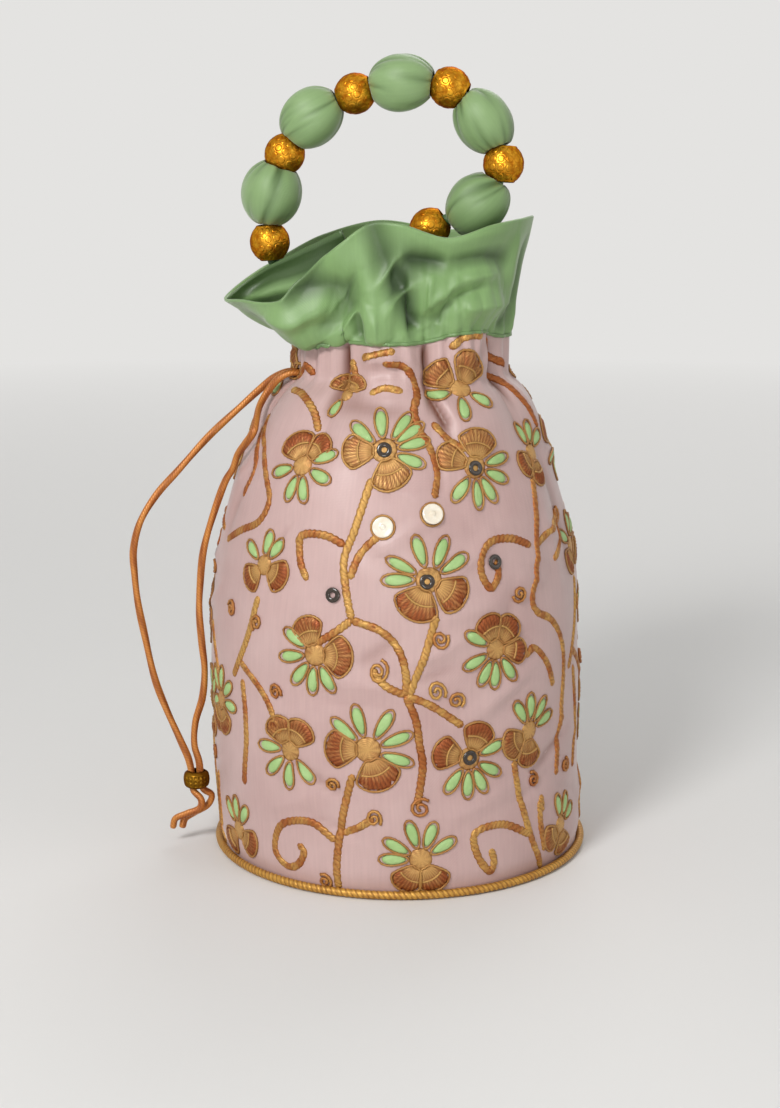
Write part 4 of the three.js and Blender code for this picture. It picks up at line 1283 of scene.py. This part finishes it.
def ovalRim(inner, outer, half, direction, count):
    turn = np.linspace(0, 2 * math.pi, count, endpoint=False)
    along = mix(inner, outer, 0.5 - 0.5 * np.cos(turn))
    wide = half * np.sin(turn) * (0.72 + 0.28 * smooth(along, inner, outer))
    c, s = math.cos(math.radians(direction)), math.sin(math.radians(direction))
    return np.stack([along * c - wide * s, along * s + wide * c], axis=1)


def fanRim(inner, outer, direction, span, count):
    turn = np.linspace(-1, 1, count // 2)
    outerEdge = outer * (1 - 0.16 * np.abs(turn) ** 2.5)
    angle = np.radians(direction + turn * span / 2)
    arc = np.stack([outerEdge * np.cos(angle), outerEdge * np.sin(angle)], axis=1)
    backAngle = np.radians(direction - turn * span / 2 * 0.86)
    back = np.stack([inner * np.cos(backAngle), inner * np.sin(backAngle)], axis=1)
    return np.vstack([arc, back])


# Flowers: azimuth, height, radius, petal directions, cap lobes (direction, span), cap tone from gold 0 to copper 1
flowers = [
    (-5, 169, 16.0, (142, 102, 60, 37, 12, -22), ((184, 58), (-71, 66)), 0.25),
    (-36, 162, 14.0, (24, -21, -70, -104, -160), ((124, 72), (56, 48)), 0.95),
    (29, 162, 15.5, (10, -25, -61, -90, -130), ((75, 72), (155, 50)), 0.35),
    (10, 123, 16.5, (180, 152, 106, 64, 29), ((243, 74), (328, 62)), 0.8),
    (-45, 124, 13.0, (85, 52, 148), ((221, 62), (-20, 70)), 0.95),
    (-24, 94, 15.0, (149, 190, 232, 265, -61), ((110, 58), (0, 76)), 0.8),
    (31, 95, 14.5, (150, 203, 241, 266, -58), ((108, 56), (48, 56), (-12, 44)), 0.95),
    (-8, 59, 17.0, (141, 107, 59, 21, -18), ((182, 60), (-70, 72)), 0.85),
    (22, 54, 15.0, (17, -30, -64, -93, -127), ((66, 62), (162, 60)), 1.0),
    (44, 60, 14.5, (120, 88, 52, 18), ((200, 64), (272, 60)), 0.7),
    (-33, 55, 14.5, (180, 225, 268, 312), ((122, 60), (58, 60)), 0.7),
    (-68, 65, 14.0, (120, 80, 40, 0), ((240, 64), (300, 56)), 0.85),
    (-59, 15, 13.5, (130, 92, 56), ((-20, 62), (222, 62)), 0.9),
    (6, 16, 15.0, (180, 150, 104, 66, 28), ((238, 58), (300, 58)), 0.75),
    (59, 17, 13.0, (100, 62, 24), ((200, 62), (284, 62)), 0.7),
    (62, 163, 13.0, (110, 74, 36), ((200, 58), (270, 60)), 0.9),
    (30, 189, 13.5, (-39, -100, -165), ((140, 56), (62, 66)), 0.6),
    (-28, 187, 10.0, (-110,), ((60, 60), (130, 50)), 0.7),
]
# Vines: route, tone
vines = [
    ([(-8.5, 159), (-13, 141), (-16, 130), (-15, 119), (-13, 108)], 0.15),
    ([(-16, 135), (-23, 138), (-31, 137), (-31, 128), (-28, 121)], 0.6),
    ([(-14, 123), (-11, 132), (-4.5, 140)], 0.35),
    ([(-13, 108), (-18, 103), (-24, 98)], 0.5),
    ([(-13, 108), (-4, 104), (1, 97), (3, 88), (3, 80)], 0.4),
    ([(12, 110), (9, 97), (4, 80)], 0.1),
    ([(3, 80), (-3, 84), (-7, 90)], 0.35),
    ([(3, 80), (10, 76), (20, 67)], 0.4),
    ([(3, 80), (6, 70), (7, 61), (8, 53), (7, 43), (6, 37)], 0.85),
    ([(56.5, 155), (53, 140), (49.5, 121), (46.6, 109.5), (48.6, 105.4), (54, 102), (58, 97), (61, 90), (62.5, 81),
      (62, 67), (60, 51), (58, 38)], 0.55),
    ([(50, 130), (59, 134), (70, 138)], 0.4),
    ([(48, 131), (39, 135), (30, 134), (27, 125), (30, 118), (33, 122), (33, 128)], 0.75),
    ([(-74, 176), (-59.5, 164.7), (-52, 155), (-47.8, 147.5), (-50.7, 139.6), (-60.6, 134.2), (-72, 128)], 0.7),
    ([(41.5, 90.2), (45.9, 92.4), (51.2, 85.6), (55.5, 75)], 0.6),
    ([(38, 50), (40, 34), (44, 16), (50, 2.5)], 0.3),
    ([(43, 19), (32, 26), (23, 24), (24, 14), (28, 8), (29, 12), (28, 17)], 0.45),
    ([(48, 31), (48, 21), (50, 10)], 0.5),
    ([(-12.5, 49), (-16.5, 31), (-19, 14), (-19, 2.5)], 0.3),
    ([(-19, 22), (-27, 28), (-38, 24), (-41, 13), (-36, 8), (-32, 10), (-30, 16), (-32, 18)], 0.6),
    ([(-17, 25), (-12, 28), (-7, 32)], 0.5),
    ([(-46, 112), (-50, 96), (-58, 78)], 0.15),
    ([(-54, 85), (-44, 76), (-38, 66)], 0.6),
    ([(-53, 78), (-51, 56), (-53, 36)], 0.5),
    ([(-34, 174), (-40, 181), (-50, 186), (-62, 187)], 0.4),
    ([(14, 178), (20, 172), (26, 168)], 0.5),
    ([(-9, 199), (1, 198), (6, 194), (8, 188), (6, 183), (8, 176), (12, 170), (15, 160), (13, 152)], 0.8),
    ([(-15, 188), (-8, 190), (1, 189)], 0.1), ([(-27, 200), (-25, 194), (-22, 188)], 0.5),
    ([(-20, 201), (-10, 203), (-3, 204)], 0.3), ([(26, 202), (35, 205), (48, 205)], 0.1),
    ([(52, 204), (60, 199), (72, 195)], 1.3), ([(58, 193), (66, 189), (69, 184), (72, 178), (74, 171)], 1.5),
    ([(-69, 190), (-59, 196), (-52, 193)], 1.1), ([(-72, 172), (-66, 164), (-63, 155), (-66, 146)], 1.2),
    ([(69, 140), (68, 129), (60, 123)], 0.6), ([(49, 33), (49, 26)], 0.4),
]
# Small coils at the ends of vines: azimuth, height, radius, tone
coils = [
    (13, 101, 3.0, 0.6), (12, 81, 3.2, 0.3), (18, 77, 2.8, 0.35), (-5, 89, 3.6, 0.4), (-23, 5, 2.6, 0.5),
    (-7, 32, 2.8, 0.4), (-46, 102, 2.6, 0.6), (7, 36, 3.4, 0.7), (70, 138, 3.0, 0.8), (-19, 44, 2.4, 0.5),
    (46, 40, 2.6, 0.7), (-60, 104, 2.6, 0.8), (64, 40, 2.6, 0.7), (-38, 64, 2.6, 0.6),
    (41, 114, 2.8, 0.6), (-38, 77, 2.6, 0.7),
]

vineHeap, mintHeap, outlineHeap, capHeap = newHeap(), newHeap(), newHeap(), newHeap()


def addFlower(azimuth, z, radius, petals, lobes, copper):
    for direction in petals:
        addPatch(mintHeap, azimuth, z, ovalRim(0.36 * radius, 0.98 * radius, 2.35, direction, 18),
                 np.array([math.cos(math.radians(direction)), math.sin(math.radians(direction))]) * 0.7 * radius,
                 0.85, False, 0.25, 0.0)
        rim = ovalRim(0.3 * radius, 1.06 * radius, 2.65, direction, 14)
        addThread(outlineHeap, azimuth, z, rim, 0.35 + 0.3 * copper, 0.46)
    for direction, span in lobes:
        addLobe(capHeap, azimuth, z, 0.27 * radius, 0.97 * radius, direction, span, copper)
        rim = fanRim(0.25 * radius, 0.98 * radius, direction, span * 1.04, 26)[::2]
        addThread(outlineHeap, azimuth, z, rim, 0.2 + 0.4 * copper, 0.5)
        turn = np.radians(direction + np.linspace(-0.46, 0.46, 6) * span)
        arc = 0.6 * radius * np.stack([np.cos(turn), np.sin(turn)], axis=1)
        addThread(outlineHeap, azimuth, z, arc, 0.1, 0.42, closed=False, lift=0.7)
    turn = np.linspace(0, 2 * math.pi, 20, endpoint=False)
    disc = np.stack([np.cos(turn), np.sin(turn)], axis=1) * 0.3 * radius
    addPatch(capHeap, azimuth, z, disc, (0, 0), 0.5, True, 0.15, 0.4)


# A loop of cord that winds in on itself
def addCoil(azimuth, z, radius, copper):
    hand = 1 if int(abs(azimuth) + z) % 2 else -1
    turn = azimuth + hand * np.linspace(0, 3.3 * math.pi, 22)
    reach = radius * np.linspace(1.12, 0.2, 22)[:, None] * (1 + 0.07 * np.sin(2.3 * turn + z))[:, None]
    addThread(vineHeap, azimuth, z, reach * np.stack([np.cos(turn), 1.1 * np.sin(turn)], axis=1), copper, 0.66,
              closed=False, lift=0.4)


# The front is set out one by one; the sides and back repeat it, turned.
for centre, reach in ((0, 90), (125, 58), (-125, 58)):
    for azimuth, z, *rest in flowers:
        if abs(azimuth) <= reach:
            addFlower(centre + azimuth, z, *rest)
    for route, copper in vines:
        if max(abs(azimuth) for azimuth, z in route) <= reach:
            addVine(vineHeap, [(centre + azimuth, z) for azimuth, z in route], copper)
    for azimuth, z, radius, copper in coils:
        if abs(azimuth) <= reach:
            addCoil(centre + azimuth, z, radius, copper)
# Threads round the sequins and round the drawcord's slot
ringTurn = np.linspace(0, 2 * math.pi, 16, endpoint=False)
circle = np.stack([np.cos(ringTurn), np.sin(ringTurn)], axis=1)
for azimuth, z in sequinPlaces:
    addThread(outlineHeap, azimuth, z, 4.3 * circle, 0.5, 0.45)
addThread(outlineHeap, body["slot"][0], body["slot"][1], [6.2, 3.4] * circle, 0.3, 0.6)

settle(heapPiece("vineEmbroidery", vineHeap), goldThread, "gold_cord")
settle(heapPiece("petalEmbroidery", mintHeap), mintThread, "green_satin")
settle(heapPiece("outlineEmbroidery", outlineHeap), outlineThread, "gold_cord")
settle(heapPiece("capEmbroidery", capHeap), copperThread, "copper_cord")
print("embroidery", [sum(len(q) for q in h["quads"]) * 2 for h in (vineHeap, mintHeap, outlineHeap, capHeap)])


# Floor with an upturned edge, and soft light
stage = {
    "radius": 2.2, "inset": 0.6, "bend": 0.5, "bendSteps": 8, "wall": 1.3, "floorTone": tone(228, 227, 225),
    "near": 0.35, "far": 1.6,
}


# 1 for a ray that shows what it meets, 0 for one that only carries light
def seenRays(tree):
    ray = addNode(tree, "LightPath").outputs
    return maths(tree, "MAXIMUM", maths(tree, "MAXIMUM", ray["Is Camera Ray"], ray["Is Glossy Ray"]),
                 ray["Is Transmission Ray"])


def paleFloor():
    bpy.ops.object.select_all(action="DESELECT")
    bpy.ops.mesh.primitive_circle_add(vertices=96, radius=stage["radius"], fill_type="NGON")
    floor = bpy.context.object
    floor.name = "floor"
    bpy.ops.object.mode_set(mode="EDIT")
    bpy.ops.mesh.select_all(action="SELECT")
    bpy.ops.mesh.inset(thickness=stage["inset"])
    bpy.ops.mesh.select_mode(type="EDGE")
    bpy.ops.object.mode_set(mode="OBJECT")
    for face in floor.data.polygons:
        face.select = False
    for vertex in floor.data.vertices:
        vertex.select = math.hypot(vertex.co.x, vertex.co.y) > stage["radius"] - 0.01
    for edge in floor.data.edges:
        edge.select = all(floor.data.vertices[i].select for i in edge.vertices)
    bpy.ops.object.mode_set(mode="EDIT")
    turns = [math.radians(90 * step / stage["bendSteps"]) for step in range(stage["bendSteps"] + 1)]
    for before, turn in zip(turns, turns[1:]):  # the edge turns up in steps, then rises as a wall
        reach = [stage["radius"] + stage["bend"] * math.sin(t) for t in (before, turn)]
        grown = reach[1] / reach[0]
        risen = stage["bend"] * (math.cos(before) - math.cos(turn))
        bpy.ops.mesh.extrude_region_move(TRANSFORM_OT_translate={"value": (0, 0, risen)})
        bpy.ops.transform.resize(value=(grown, grown, 1), center_override=(0, 0, 0))
    bpy.ops.mesh.extrude_region_move(TRANSFORM_OT_translate={"value": (0, 0, stage["wall"])})
    bpy.ops.object.mode_set(mode="OBJECT")
    bpy.ops.object.shade_smooth()
    look, tree, shader = newLook("paleFloor")
    shader.inputs["Base Color"].default_value = stage["floorTone"]
    shader.inputs["Roughness"].default_value = 0.85
    place = addNode(tree, "TexCoord").outputs["Object"]
    away = addNode(tree, "VectorMath", {0: place}, operation="LENGTH").outputs["Value"]
    far = maths(tree, "DIVIDE", maths(tree, "SUBTRACT", away, stage["near"]), stage["far"] - stage["near"], clamp=True)
    pale = addNode(tree, "Emission", {"Color": stage["floorTone"], "Strength": 1.0})
    share = maths(tree, "MULTIPLY", far, seenRays(tree))
    both = addNode(tree, "MixShader", {0: share, 1: shader.outputs[0], 2: pale.outputs[0]})
    tree.links.new(both.outputs[0], next(n for n in tree.nodes if n.type == "OUTPUT_MATERIAL").inputs["Surface"])
    floor.data.materials.append(look)


paleFloor()

lamps = [
    ("keyLamp", (-0.55, -1.05, 0.95), 0.4, 12.5),
    ("frontLamp", (0.02, -1.3, 0.16), 0.3, 2.2),
    ("fillLamp", (1.1, -0.7, 0.6), 0.8, 1.2),
    ("backLamp", (0.3, 1.0, 1.1), 0.8, 4.0),
]
for name, place, size, power in lamps:
    light = bpy.data.lights.new(name, "AREA")
    light.shape = "DISK"
    light.size = size
    light.energy = power
    lamp = bpy.data.objects.new(name, light)
    lamp.location = place
    lamp.rotation_euler = (Vector((0, 0, 0.14)) - Vector(place)).to_track_quat("-Z", "Y").to_euler()
    scene.collection.objects.link(lamp)

world = bpy.data.worlds.new("softSky")
world.use_nodes = True
scene.world = world
sky = world.node_tree
sky.nodes.clear()
soft = addNode(sky, "Background", {"Color": (1.0, 1.0, 1.0, 1), "Strength": 0.45})
shown = addNode(sky, "Background", {"Color": tone(232, 231, 229), "Strength": 1.0})
both = addNode(sky, "MixShader", {0: seenRays(sky), 1: soft.outputs[0], 2: shown.outputs[0]})
addNode(sky, "OutputWorld", {"Surface": both.outputs[0]})
print("stage and lights set")
